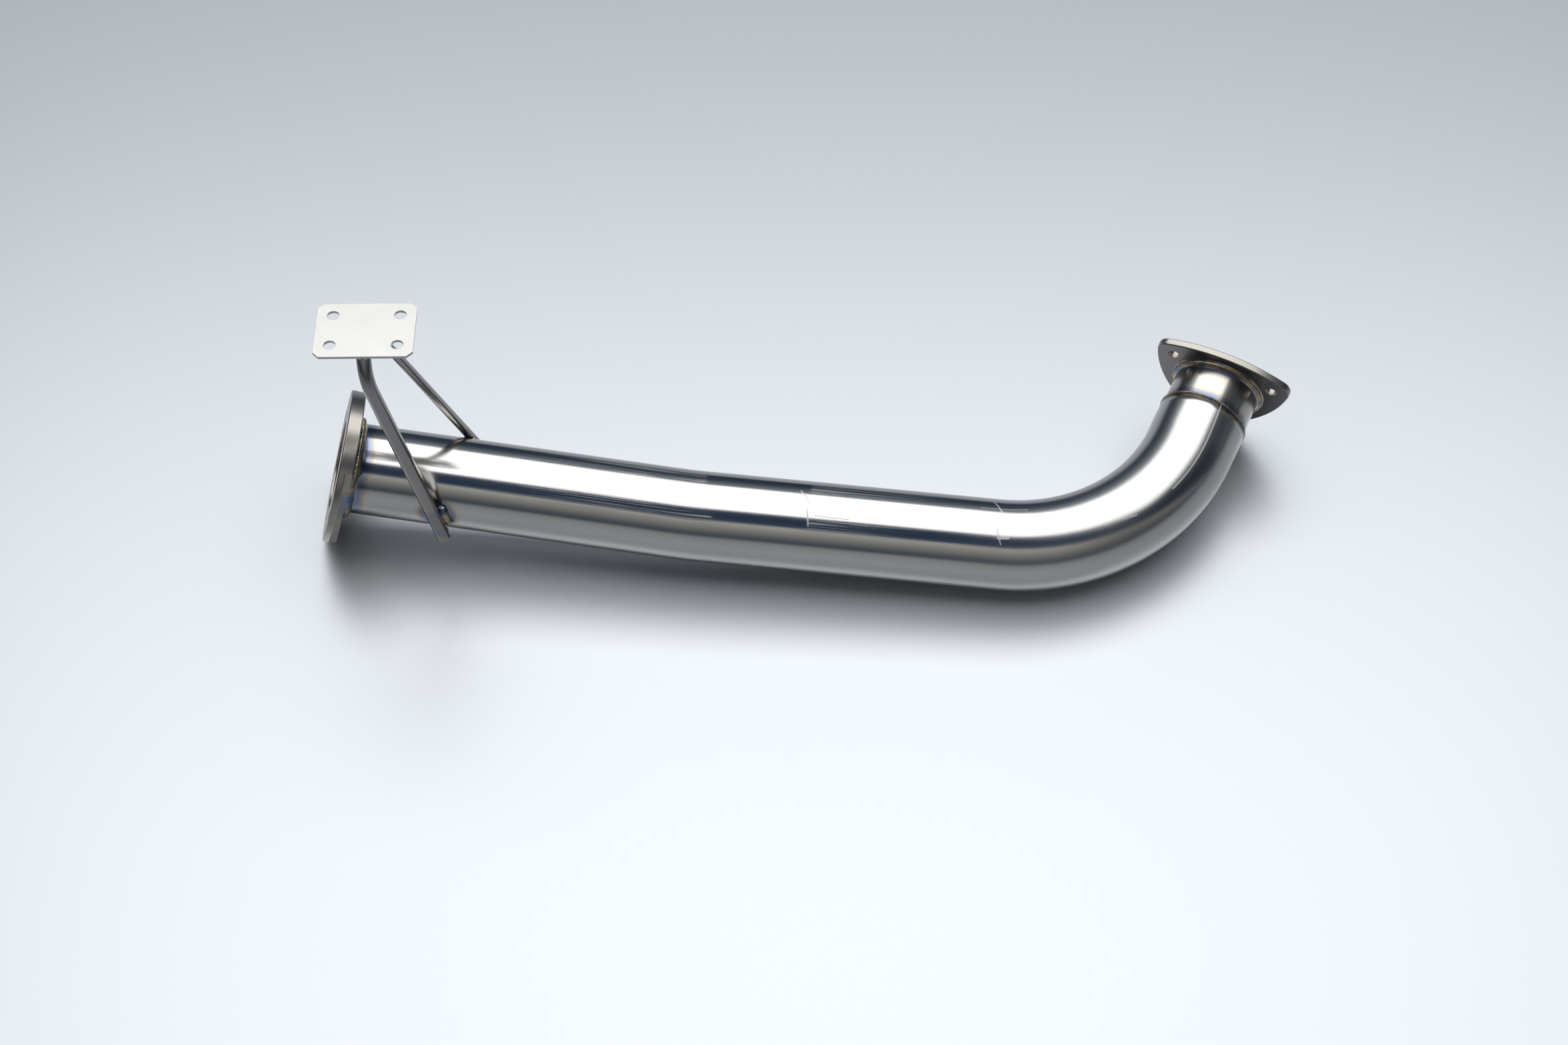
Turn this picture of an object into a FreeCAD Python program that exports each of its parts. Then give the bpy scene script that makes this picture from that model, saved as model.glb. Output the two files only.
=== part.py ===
import FreeCAD, Part
import math
import os
import Sketcher
from FreeCAD import Placement, Rotation, Vector

# Exhaust front pipe of thin stainless tube. It is one welded piece: a long tube with a large elbow, a bolted
# flange at each end and a small bracket plate that stands over the tube on two rod stays. It is modelled as
# it lies at rest, on the rear flange's rim, the elbow's underside and one corner of the front flange.

# Driving dimensions: millimetres and degrees. A text that starts with = follows from the other values.
SIZES = (
    ("TubeOuter", 76.3, "outside diameter of the main tube"),
    ("TubeWall", 1.5, "wall of the main tube and of the collar"),
    ("RearRun", 289.2, "first straight, from the rear flange's face"),
    ("KinkAngle", 2.99, "slight bend between the two straights"),
    ("KinkRadius", 500.0, "centreline radius of the slight bend"),
    ("MiddleRun", 244.9, "second straight, up to the elbow"),
    ("ElbowAngle", 71.7, "turn of the elbow"),
    ("ElbowRadius", 163.0, "centreline radius of the elbow"),
    ("FrontRun", 30.5, "straight stub after the elbow"),
    ("TrimSpare", 16.0, "tube length that the slanted cut takes off"),
    ("CollarInsert", 10.0, "length of the collar inside the tube"),
    ("CollarRun", 38.0, "visible length of the collar on its axis"),
    ("EndSetback", 2.0, "how far a tube's end stays below a flange's face"),
    ("RearDiameter", 130.0, "rear flange across its rim"),
    ("RearDisc", 6.0, "thickness of the rear flange's full disc"),
    ("RearStep", 6.0, "thickness of the step between the bolt seats"),
    ("RearSeatGap", 7.85, "from the tube's side to a milled bolt seat"),
    ("RearStepHalf", "=TubeOuter / 2 + RearSeatGap", "from the rear flange's axis to a milled bolt seat"),
    ("RearBoltEdge", 9.5, "from the rear flange's rim to a bolt hole's centre"),
    ("RearBoltCircle", "=RearDiameter - 2 * RearBoltEdge", "bolt circle of the rear flange"),
    ("RearBoltHole", 10.5, "bolt hole of the rear flange"),
    ("RearLean", 13.42, "lean of the rear flange against the tube"),
    ("RearSwing", 4.27, "sideways turn of the rear flange"),
    ("RearSpin", -10.0, "turn of the bolt seats about the rear flange's axis"),
    ("FrontThickness", 6.5, "thickness of the front flange"),
    ("FrontCorner", 53.5, "from the front flange's axis to a corner's centre"),
    ("FrontCornerRadius", 13.0, "radius of a corner of the front flange"),
    ("FrontSideRadius", 130.0, "radius of the front flange's bowed sides"),
    ("FrontBoltInset", 3.0, "from a corner's centre inwards to a bolt hole's centre"),
    ("FrontBoltCircle", "=2 * (FrontCorner - FrontBoltInset)", "bolt circle of the front flange"),
    ("FrontBoltHole", 10.5, "bolt hole of the front flange"),
    ("FrontTilt", -4.63, "upward tilt of the front flange against the collar"),
    ("FrontSwing", 1.55, "sideways turn of the front flange"),
    ("FrontSpin", 63.98, "turn of the front flange about its own axis"),
    ("EdgeBreak", 0.8, "chamfer along the flanges' edges"),
    ("PlateLength", 80.0, "bracket plate along the tube"),
    ("PlateWidth", 59.0, "bracket plate across the tube"),
    ("PlateThickness", 2.5, "thickness of the bracket plate"),
    ("PlateCorner", 5.0, "cut corner of the bracket plate"),
    ("PlateHole", 10.0, "hole of the bracket plate"),
    ("PlateHoleEdge", 13.0, "from the bracket plate's edges to a hole's centre"),
    ("PlateHoleLength", "=PlateLength - 2 * PlateHoleEdge", "hole spacing along the tube"),
    ("PlateHoleWidth", "=PlateWidth - 2 * PlateHoleEdge", "hole spacing across the tube"),
    ("PlateAlong", 45.5, "plate's centre from the rear flange's face"),
    ("PlateAcross", -20.0, "plate's centre beside the rear flange's centre"),
    ("PlateRise", 183.5, "plate's top face over the rear flange's centre"),
    ("NearRod", 12.0, "diameter of the near stay"),
    ("NearStation", 95.0, "near stay's weld, from the rear flange's face"),
    ("NearBelow", 20.0, "near stay's end below its weld"),
    ("NearBendRadius", 42.0, "centreline radius of the near stay's bend"),
    ("NearBendDrop", 15.0, "near stay's bend corner below the plate"),
    ("NearBendReach", 4.5, "near stay's bend corner outside the plate's edge"),
    ("NearInset", 12.0, "near stay's top inside the plate's edge"),
    ("FarRod", 8.0, "diameter of the far stay"),
    ("FarStation", 108.0, "far stay's weld, from the rear flange's face"),
    ("FarBelow", 15.0, "far stay's end below its weld"),
    ("FarSide", 7.5, "far stay's top beside the plate's centre"),
    ("RearWeldLeg", 6.0, "leg of the fillet weld on the rear flange"),
    ("FrontWeldLeg", 4.5, "leg of the fillet weld on the front flange"),
    ("CollarBead", 2.8, "width of the bead between the tube and the collar"),
    ("CollarBeadRadius", 3.0, "roundness of that bead"),
    ("StayWeldLeg", 2.5, "leg of the fillet welds under the bracket plate"),
    ("FootBeadLength", 20.0, "length of the beads beside a stay's foot"),
    ("RestYaw", -8.685, "turn of the part as it lies"),
    ("RestPitch", 2.981, "dip of the long straight as it lies"),
    ("RestRoll", 10.36, "roll of the part as it lies"),
)

# Shares that shape the weld beads
FILLET_SECTIONS = ((0.0, 1.0), (0.45, 0.66), (1.0, 0.06))
FOOT_BEAD_OFFSET = 1.0
FOOT_BEAD_WIDTH = 0.72
FOOT_BEAD_TIP = 0.35
FOOT_BEAD_FULL = 0.5

# Lengths that only have to reach past what they cut
CUTTER_REACH = 120.0

X_AXIS = Vector(1, 0, 0)
Y_AXIS = Vector(0, 1, 0)
Z_AXIS = Vector(0, 0, 1)
ORIGIN = Vector(0, 0, 0)

doc = FreeCAD.newDocument("ExhaustFrontPipe")
sheet = doc.addObject("Spreadsheet::Sheet", "Sizes")
for row, (alias, value, note) in enumerate(SIZES, 1):
    sheet.set(f"A{row}", alias)
    sheet.set(f"B{row}", str(value))
    sheet.setAlias(f"B{row}", alias)
    sheet.set(f"C{row}", note)
doc.recompute()


def size(alias):
    """Value of one driving dimension."""
    return float(sheet.get(alias))


def bind(item, **expressions):
    """Bind properties of an object to the sheet."""
    for name, expression in expressions.items():
        item.setExpression(name, expression)


# Places worked out from the driving dimensions, in the frame of the first straight

def turned(angle):
    """Direction in the tube's plane at an angle to the first straight."""
    return Vector(math.cos(math.radians(angle)), math.sin(math.radians(angle)), 0)


def collar_frame():
    """Frame at the end of the tube: its X axis runs along the collar."""
    kink = size("KinkAngle")
    final = kink + size("ElbowAngle")
    point = Vector(size("RearRun"), 0, 0)
    point += (Y_AXIS - turned(kink + 90)) * size("KinkRadius")
    point += turned(kink) * size("MiddleRun")
    point += (turned(kink + 90) - turned(final + 90)) * size("ElbowRadius")
    point += turned(final) * size("FrontRun")
    return Placement(point, Rotation(final, 0, 0))


REST = Placement(ORIGIN, Rotation(size("RestYaw"), size("RestPitch"), size("RestRoll")))
COLLAR = REST * collar_frame()
TUBE_AXIS = REST.Rotation.multVec(X_AXIS)
COLLAR_AXIS = COLLAR.Rotation.multVec(X_AXIS)
REAR_NORMAL = REST.Rotation.multVec(Rotation(size("RearSwing"), size("RearLean"), 0).multVec(X_AXIS))
FRONT_NORMAL = COLLAR.Rotation.multVec(Rotation(size("FrontSwing"), size("FrontTilt"), 0).multVec(X_AXIS))


def slanted(along, swing, lean, spin, lift):
    """Expression for a sketch plane that leans against the X axis of its body."""
    turn = (f"rotation(vector(0; 1; 0); {swing}) * rotation(vector(1; 0; 0); {lean})"
            f" * rotation(vector(0; 0; 1); {spin})")
    raised = f"placement(vector(0; 0; {lift}); rotation(vector(0; 0; 1); 0))"
    return f"placement(vector(0; 0; {along}); {turn}) * {raised}"


def rear_plane(lift):
    return slanted("0", "Sizes.RearSwing", "Sizes.RearLean", "Sizes.RearSpin", lift)


def front_plane(lift):
    return slanted("Sizes.CollarRun", "Sizes.FrontSwing", "Sizes.FrontTilt", "Sizes.FrontSpin", lift)


# Helpers for bodies and sketches

def new_body(label):
    body = doc.addObject("PartDesign::Body", label)
    body.Label = label
    return body


def new_sketch(body, name, plane="YZ_Plane", offset=None):
    """Sketch on one of the body's own origin planes."""
    sketch = body.newObject("Sketcher::SketchObject", name)
    support = [item for item in body.Origin.OriginFeatures if item.Role == plane]
    sketch.AttachmentSupport = [(support[0], "")]
    sketch.MapMode = "FlatFace"
    if offset:
        sketch.setExpression("AttachmentOffset", offset)
    return sketch


def constrain(sketch, name, expression, *constraint):
    """Add one named dimension and bind it to the sheet."""
    index = sketch.addConstraint(Sketcher.Constraint(*constraint))
    sketch.renameConstraint(index, name)
    sketch.setExpression(f"Constraints.{name}", expression)


def add_circle(sketch, name, expression, radius, centre=ORIGIN):
    """Circle with a bound radius, on the sketch's origin unless a centre is given."""
    index = sketch.addGeometry(Part.Circle(centre, Z_AXIS, radius))
    constrain(sketch, name, expression, "Radius", index, radius)
    if centre == ORIGIN:
        sketch.addConstraint(Sketcher.Constraint("Coincident", index, 3, -1, 1))
    return index


def place_point(sketch, name, geometry, point, place, across, up):
    """Bind a point's two coordinates, each with its sign kept by its order."""
    for axis, value, expression in (("X", place.x, across), ("Y", place.y, up)):
        if value < 0:
            constrain(sketch, name + axis, f"-({expression})", f"Distance{axis}", geometry, point, -1, 1, -value)
        else:
            constrain(sketch, name + axis, expression, f"Distance{axis}", -1, 1, geometry, point, value)


def add_pad(body, name, sketch, length, reverse=False):
    pad = body.newObject("PartDesign::Pad", name)
    pad.Profile = sketch
    pad.Reversed = reverse
    pad.setExpression("Length", length)
    return pad


def add_pocket(body, name, sketch, length, reverse=False, both=False):
    """Pocket against the sketch's normal, checked by the volume it takes away."""
    doc.recompute()
    before = body.Shape.Volume
    pocket = body.newObject("PartDesign::Pocket", name)
    pocket.Profile = sketch
    pocket.Reversed = reverse
    pocket.setExpression("Length", length)
    if both:
        pocket.SideType = "Symmetric"
    doc.recompute()
    if body.Shape.Volume >= before:
        raise RuntimeError(f"{name} cuts nothing")
    return pocket


def add_polar(body, name, feature, sketch, count):
    """Copies of a feature, evenly about the sketch's normal."""
    pattern = body.newObject("PartDesign::PolarPattern", name)
    pattern.Originals = [feature]
    pattern.Axis = (sketch, ["N_Axis"])
    pattern.Angle = 360
    pattern.Occurrences = count
    body.Tip = pattern
    doc.recompute()
    return pattern


def break_edges(body, name, edges, expression):
    """Chamfer on the named edges of the body's last feature."""
    base = body.Tip
    chamfer = body.newObject("PartDesign::Chamfer", name)
    chamfer.Base = (base, edges)
    chamfer.setExpression("Size", expression)
    doc.recompute()
    return chamfer


def rim_edges(body, normal, reach):
    """Edges of the two flat faces across a normal that lie further out than a reach."""
    names = []
    for index, edge in enumerate(body.Shape.Edges, 1):
        middle = edge.valueAt((edge.FirstParameter + edge.LastParameter) / 2)
        flat = abs((edge.Vertexes[0].Point - middle).dot(normal)) < 0.01
        outward = middle - normal * middle.dot(normal)
        if flat and outward.Length > reach:
            names.append(f"Edge{index}")
    return names


# Main tube: one planar path of straights and tangent arcs, cut on the slant at the rear flange

def make_main_tube():
    body = new_body("main_tube")
    kink = math.radians(size("KinkAngle"))
    final = kink + math.radians(size("ElbowAngle"))
    start = Vector(-size("TrimSpare"), 0, 0)
    kink_start = Vector(size("RearRun"), 0, 0)
    kink_centre = kink_start + Y_AXIS * size("KinkRadius")
    kink_end = kink_centre - turned(size("KinkAngle") + 90) * size("KinkRadius")
    elbow_start = kink_end + turned(size("KinkAngle")) * size("MiddleRun")
    elbow_centre = elbow_start + turned(size("KinkAngle") + 90) * size("ElbowRadius")
    end = collar_frame().Base
    elbow_end = end - turned(math.degrees(final)) * size("FrontRun")
    quarter = math.pi / 2

    path = new_sketch(body, "tube_path", "XY_Plane")
    kink_circle = Part.Circle(kink_centre, Z_AXIS, size("KinkRadius"))
    elbow_circle = Part.Circle(elbow_centre, Z_AXIS, size("ElbowRadius"))
    path.addGeometry(Part.LineSegment(start, kink_start))
    path.addGeometry(Part.ArcOfCircle(kink_circle, -quarter, kink - quarter))
    path.addGeometry(Part.LineSegment(kink_end, elbow_start))
    path.addGeometry(Part.ArcOfCircle(elbow_circle, kink - quarter, final - quarter))
    path.addGeometry(Part.LineSegment(elbow_end, end))
    for first, second in ((0, 1), (1, 2), (2, 3), (3, 4)):
        path.addConstraint(Sketcher.Constraint("Tangent", first, 2, second, 1))
    path.addConstraint(Sketcher.Constraint("PointOnObject", 0, 1, -1))
    path.addConstraint(Sketcher.Constraint("Horizontal", 0))
    constrain(path, "Spare", "Sizes.TrimSpare", "DistanceX", 0, 1, -1, 1, size("TrimSpare"))
    constrain(path, "RearRun", "Sizes.RearRun", "DistanceX", -1, 1, 0, 2, size("RearRun"))
    constrain(path, "KinkRadius", "Sizes.KinkRadius", "Radius", 1, size("KinkRadius"))
    constrain(path, "KinkAngle", "Sizes.KinkAngle * 1 deg", "Angle", 2, kink)
    constrain(path, "MiddleRun", "Sizes.MiddleRun", "Distance", 2, size("MiddleRun"))
    constrain(path, "ElbowRadius", "Sizes.ElbowRadius", "Radius", 3, size("ElbowRadius"))
    constrain(path, "FinalAngle", "(Sizes.KinkAngle + Sizes.ElbowAngle) * 1 deg", "Angle", 4, final)
    constrain(path, "FrontRun", "Sizes.FrontRun", "Distance", 4, size("FrontRun"))

    back = "placement(vector(0; 0; -Sizes.TrimSpare); rotation(vector(0; 0; 1); 0))"
    ring = new_sketch(body, "tube_section", "YZ_Plane", back)
    outer = size("TubeOuter") / 2
    add_circle(ring, "Outer", "Sizes.TubeOuter / 2", outer)
    add_circle(ring, "Inner", "Sizes.TubeOuter / 2 - Sizes.TubeWall", outer - size("TubeWall"))
    doc.recompute()
    sweep = body.newObject("PartDesign::AdditivePipe", "tube_sweep")
    sweep.Profile = ring
    sweep.Spine = (path, [f"Edge{index}" for index in range(1, 6)])

    trim = new_sketch(body, "rear_trim", "YZ_Plane", rear_plane("Sizes.EndSetback"))
    add_circle(trim, "Reach", "Sizes.TubeOuter", size("TubeOuter"))
    add_pocket(body, "rear_trim_cut", trim, "Sizes.TubeOuter")
    body.Placement = REST
    return body


# Collar: a short tube that slips into the end of the main tube and carries the front flange

def make_front_collar():
    body = new_body("front_collar")
    back = "placement(vector(0; 0; -Sizes.CollarInsert); rotation(vector(0; 0; 1); 0))"
    ring = new_sketch(body, "collar_section", "YZ_Plane", back)
    outer = size("TubeOuter") / 2 - size("TubeWall")
    add_circle(ring, "Outer", "Sizes.TubeOuter / 2 - Sizes.TubeWall", outer)
    add_circle(ring, "Inner", "Sizes.TubeOuter / 2 - 2 * Sizes.TubeWall", outer - size("TubeWall"))
    length = "Sizes.CollarInsert + Sizes.CollarRun + Sizes.FrontThickness + Sizes.TrimSpare"
    add_pad(body, "collar_pad", ring, length)
    trim = new_sketch(body, "front_trim", "YZ_Plane", front_plane("Sizes.FrontThickness - Sizes.EndSetback"))
    add_circle(trim, "Reach", "Sizes.TubeOuter", size("TubeOuter"))
    add_pocket(body, "front_trim_cut", trim, "Sizes.TubeOuter", reverse=True)
    body.Placement = COLLAR
    return body


# Rear flange: a round disc with a step between two milled bolt seats

def make_rear_flange():
    body = new_body("rear_flange")
    radius = size("RearDiameter") / 2
    disc = new_sketch(body, "rear_disc", "YZ_Plane", rear_plane("0"))
    add_circle(disc, "Rim", "Sizes.RearDiameter / 2", radius)
    add_pad(body, "rear_disc_pad", disc, "Sizes.RearDisc")

    half = size("RearStepHalf")
    corner = math.acos(half / radius)
    rim = Part.Circle(ORIGIN, Z_AXIS, radius)
    step = new_sketch(body, "rear_step", "YZ_Plane", rear_plane("Sizes.RearDisc"))
    step.addGeometry(Part.ArcOfCircle(rim, corner, math.pi - corner))
    step.addGeometry(Part.ArcOfCircle(rim, math.pi + corner, 2 * math.pi - corner))
    corners = [Vector(across * half, up * radius * math.sin(corner), 0)
               for across, up in ((1, 1), (-1, 1), (-1, -1), (1, -1))]
    step.addGeometry(Part.LineSegment(corners[1], corners[2]))
    step.addGeometry(Part.LineSegment(corners[3], corners[0]))
    for first, end, second, begin in ((0, 2, 2, 1), (2, 2, 1, 1), (1, 2, 3, 1), (3, 2, 0, 1)):
        step.addConstraint(Sketcher.Constraint("Coincident", first, end, second, begin))
    step.addConstraint(Sketcher.Constraint("Coincident", 0, 3, -1, 1))
    step.addConstraint(Sketcher.Constraint("Coincident", 1, 3, -1, 1))
    step.addConstraint(Sketcher.Constraint("Vertical", 2))
    step.addConstraint(Sketcher.Constraint("Vertical", 3))
    constrain(step, "Rim", "Sizes.RearDiameter / 2", "Radius", 0, radius)
    step.addConstraint(Sketcher.Constraint("Equal", 0, 1))
    constrain(step, "SeatLeft", "Sizes.RearStepHalf", "DistanceX", 2, 1, -1, 1, half)
    constrain(step, "SeatRight", "Sizes.RearStepHalf", "DistanceX", -1, 1, 3, 1, half)
    add_pad(body, "rear_step_pad", step, "Sizes.RearStep")
    doc.recompute()

    normal = Rotation(size("RearSwing"), size("RearLean"), 0).multVec(X_AXIS)
    edges = rim_edges(body, normal, half + size("EdgeBreak"))
    break_edges(body, "rear_edge_break", edges, "Sizes.EdgeBreak")

    bolt = new_sketch(body, "rear_bolt", "YZ_Plane", rear_plane("0"))
    pitch = size("RearBoltCircle") / 2
    hole = add_circle(bolt, "Hole", "Sizes.RearBoltHole / 2", size("RearBoltHole") / 2, X_AXIS * pitch)
    bolt.addConstraint(Sketcher.Constraint("PointOnObject", hole, 3, -1))
    constrain(bolt, "Pitch", "Sizes.RearBoltCircle / 2", "DistanceX", -1, 1, hole, 3, pitch)
    thickness = "Sizes.RearDisc + Sizes.RearStep"
    drilled = add_pocket(body, "rear_bolt_hole", bolt, thickness, reverse=True)
    add_polar(body, "rear_bolt_holes", drilled, bolt, 2)

    bore = new_sketch(body, "rear_bore")
    add_circle(bore, "Tube", "Sizes.TubeOuter / 2", size("TubeOuter") / 2)
    add_pocket(body, "rear_bore_cut", bore, "2 * Sizes.TubeOuter", both=True)
    body.Placement = REST
    return body


# Front flange: a rounded triangle with bowed sides and three bolt holes

def make_front_flange():
    body = new_body("front_flange")
    outline = new_sketch(body, "front_outline", "YZ_Plane", front_plane("0"))
    side = size("FrontSideRadius")
    corner = size("FrontCorner")
    swing_reach = side - size("FrontCornerRadius")
    shift = math.sqrt(swing_reach ** 2 - (corner * math.sin(math.pi / 3)) ** 2) - corner / 2
    rule = ("(sqrt((Sizes.FrontSideRadius - Sizes.FrontCornerRadius) ^ 2"
            " - (Sizes.FrontCorner * sin(60 deg)) ^ 2) - Sizes.FrontCorner / 2)")
    tip = math.sqrt(side ** 2 - (shift * math.sin(math.pi / 3)) ** 2) - shift / 2
    for number, middle in enumerate((30, 150, 270)):
        centre = turned(middle + 180) * shift
        first = turned(middle - 60) * tip - centre
        last = turned(middle + 60) * tip - centre
        circle = Part.Circle(centre, Z_AXIS, side)
        outline.addGeometry(Part.ArcOfCircle(circle, math.atan2(first.y, first.x), math.atan2(last.y, last.x)))
        across = f"{rule} * cos({middle + 180} deg)"
        up = f"{rule} * sin({middle + 180} deg)"
        if abs(centre.x) < 0.001:
            outline.addConstraint(Sketcher.Constraint("PointOnObject", number, 3, -2))
            constrain(outline, "CentreY", up, "DistanceY", -1, 1, number, 3, centre.y)
        else:
            place_point(outline, f"Centre{number}", number, 3, centre, across, up)
    for first, second in ((0, 1), (1, 2), (2, 0)):
        outline.addConstraint(Sketcher.Constraint("Coincident", first, 2, second, 1))
    constrain(outline, "Side", "Sizes.FrontSideRadius", "Radius", 0, side)
    outline.addConstraint(Sketcher.Constraint("Equal", 0, 1))
    add_pad(body, "front_pad", outline, "Sizes.FrontThickness")
    doc.recompute()

    normal = Rotation(size("FrontSwing"), size("FrontTilt"), 0).multVec(X_AXIS)
    corners = []
    for index, edge in enumerate(body.Shape.Edges, 1):
        along = edge.Vertexes[-1].Point - edge.Vertexes[0].Point
        if abs(abs(along.dot(normal)) - size("FrontThickness")) < 0.01:
            corners.append(f"Edge{index}")
    rounding = body.newObject("PartDesign::Fillet", "front_corners")
    rounding.Base = (doc.getObject("front_pad"), corners)
    rounding.setExpression("Radius", "Sizes.FrontCornerRadius")
    doc.recompute()
    edges = rim_edges(body, normal, corner / 2)
    break_edges(body, "front_edge_break", edges, "Sizes.EdgeBreak")

    bolt = new_sketch(body, "front_bolt", "YZ_Plane", front_plane("0"))
    pitch = size("FrontBoltCircle") / 2
    hole = add_circle(bolt, "Hole", "Sizes.FrontBoltHole / 2", size("FrontBoltHole") / 2, Y_AXIS * pitch)
    bolt.addConstraint(Sketcher.Constraint("PointOnObject", hole, 3, -2))
    constrain(bolt, "Pitch", "Sizes.FrontBoltCircle / 2", "DistanceY", -1, 1, hole, 3, pitch)
    drilled = add_pocket(body, "front_bolt_hole", bolt, "Sizes.FrontThickness", reverse=True)
    add_polar(body, "front_bolt_holes", drilled, bolt, 3)

    centred = "placement(vector(0; 0; Sizes.CollarRun); rotation(vector(0; 0; 1); 0))"
    bore = new_sketch(body, "front_bore", "YZ_Plane", centred)
    radius = size("TubeOuter") / 2 - size("TubeWall")
    add_circle(bore, "Collar", "Sizes.TubeOuter / 2 - Sizes.TubeWall", radius)
    add_pocket(body, "front_bore_cut", bore, "Sizes.TubeOuter", both=True)
    body.Placement = COLLAR
    return body


# Bracket plate: level at rest, with cut corners and four holes

def make_bracket_plate():
    body = new_body("bracket_plate")
    half_length = size("PlateLength") / 2
    half_width = size("PlateWidth") / 2
    outline = new_sketch(body, "plate_outline", "XY_Plane")
    corners = [Vector(across * half_length, up * half_width, 0)
               for across, up in ((-1, -1), (1, -1), (1, 1), (-1, 1))]
    for number in range(4):
        outline.addGeometry(Part.LineSegment(corners[number], corners[(number + 1) % 4]))
    for number in range(4):
        outline.addConstraint(Sketcher.Constraint("Coincident", number, 2, (number + 1) % 4, 1))
    for number, kind in enumerate(("Horizontal", "Vertical", "Horizontal", "Vertical")):
        outline.addConstraint(Sketcher.Constraint(kind, number))
    outline.addConstraint(Sketcher.Constraint("Symmetric", 0, 1, 1, 2, -1, 1))
    constrain(outline, "Length", "Sizes.PlateLength", "DistanceX", 0, 1, 0, 2, size("PlateLength"))
    constrain(outline, "Width", "Sizes.PlateWidth", "DistanceY", 1, 1, 1, 2, size("PlateWidth"))
    add_pad(body, "plate_pad", outline, "Sizes.PlateThickness", reverse=True)
    doc.recompute()
    upright = [f"Edge{index}" for index, edge in enumerate(body.Shape.Edges, 1)
               if abs(edge.tangentAt(edge.FirstParameter).z) > 0.99]
    break_edges(body, "plate_corners", upright, "Sizes.PlateCorner")

    holes = new_sketch(body, "plate_holes", "XY_Plane")
    spacing = ("Sizes.PlateHoleLength / 2", "Sizes.PlateHoleWidth / 2")
    for number, (across, up) in enumerate(((-1, -1), (1, -1), (1, 1), (-1, 1))):
        centre = Vector(across * size("PlateHoleLength") / 2, up * size("PlateHoleWidth") / 2, 0)
        radius = size("PlateHole") / 2
        hole = add_circle(holes, f"Hole{number}", "Sizes.PlateHole / 2", radius, centre)
        signed = [f"{sign} * {text}" for sign, text in zip((across, up), spacing)]
        place_point(holes, f"Place{number}", hole, 3, centre, *signed)
    add_pocket(body, "plate_hole_cut", holes, "Sizes.PlateThickness")
    body.Placement = Placement(plate_centre(), Rotation())
    return body


def plate_centre():
    return Vector(size("PlateAlong"), size("PlateAcross"), size("PlateRise"))


# Stays: each rod touches the side of the tube along a tangent and ends flush under the plate

def tangent_foot(target, station, distance, side):
    """Axis point of a rod that comes from a target and lies tangent to the tube's side."""
    axis_point = TUBE_AXIS * station
    across = target - TUBE_AXIS * target.dot(TUBE_AXIS)
    toward = Vector(across).normalize()
    beside = TUBE_AXIS.cross(toward)
    share = distance / across.Length
    rest = math.sqrt(1 - share ** 2)
    choices = [toward * share + beside * rest, toward * share - beside * rest]
    outward = max(choices, key=lambda direction: direction.y * side)
    return axis_point + outward * distance, outward


def frame_from(origin, x_direction, toward):
    """Placement with a given X axis whose XY plane holds a second direction."""
    x_dir = Vector(x_direction).normalize()
    z_dir = x_dir.cross(toward).normalize()
    y_dir = z_dir.cross(x_dir)
    return Placement(origin, Rotation(x_dir, y_dir, z_dir, "XYZ"))


def plate_underside():
    return size("PlateRise") - size("PlateThickness")


def near_stay_points():
    """Foot, outward direction, bend corner and top of the near stay's axis."""
    centre = plate_centre()
    near_edge = centre.y - size("PlateWidth") / 2
    corner = Vector(centre.x, near_edge - size("NearBendReach"), plate_underside() - size("NearBendDrop"))
    top = Vector(centre.x, near_edge + size("NearInset"), plate_underside())
    distance = (size("TubeOuter") + size("NearRod")) / 2
    foot, outward = tangent_foot(corner, size("NearStation"), distance, -1)
    return foot, outward, corner, top


def far_stay_points():
    """Foot, outward direction and top of the far stay's axis."""
    centre = plate_centre()
    top = Vector(centre.x + size("FarSide"), centre.y, plate_underside())
    distance = (size("TubeOuter") + size("FarRod")) / 2
    foot, outward = tangent_foot(top, size("FarStation"), distance, 1)
    return foot, outward, top


def cut_under_plate(label, rod):
    """Rod cut off flush with the plate's underside."""
    above = doc.addObject("Part::Box", label + "_above")
    bind(above, Length="2 * Sizes.PlateLength", Width="2 * Sizes.PlateWidth", Height="Sizes.PlateWidth")
    middle = plate_centre()
    above.Placement = Placement(Vector(middle.x - size("PlateLength"), middle.y - size("PlateWidth"),
                                       plate_underside()), Rotation())
    stay = doc.addObject("Part::Cut", label)
    stay.Label = label
    stay.Base = rod
    stay.Tool = above
    return stay


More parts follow.
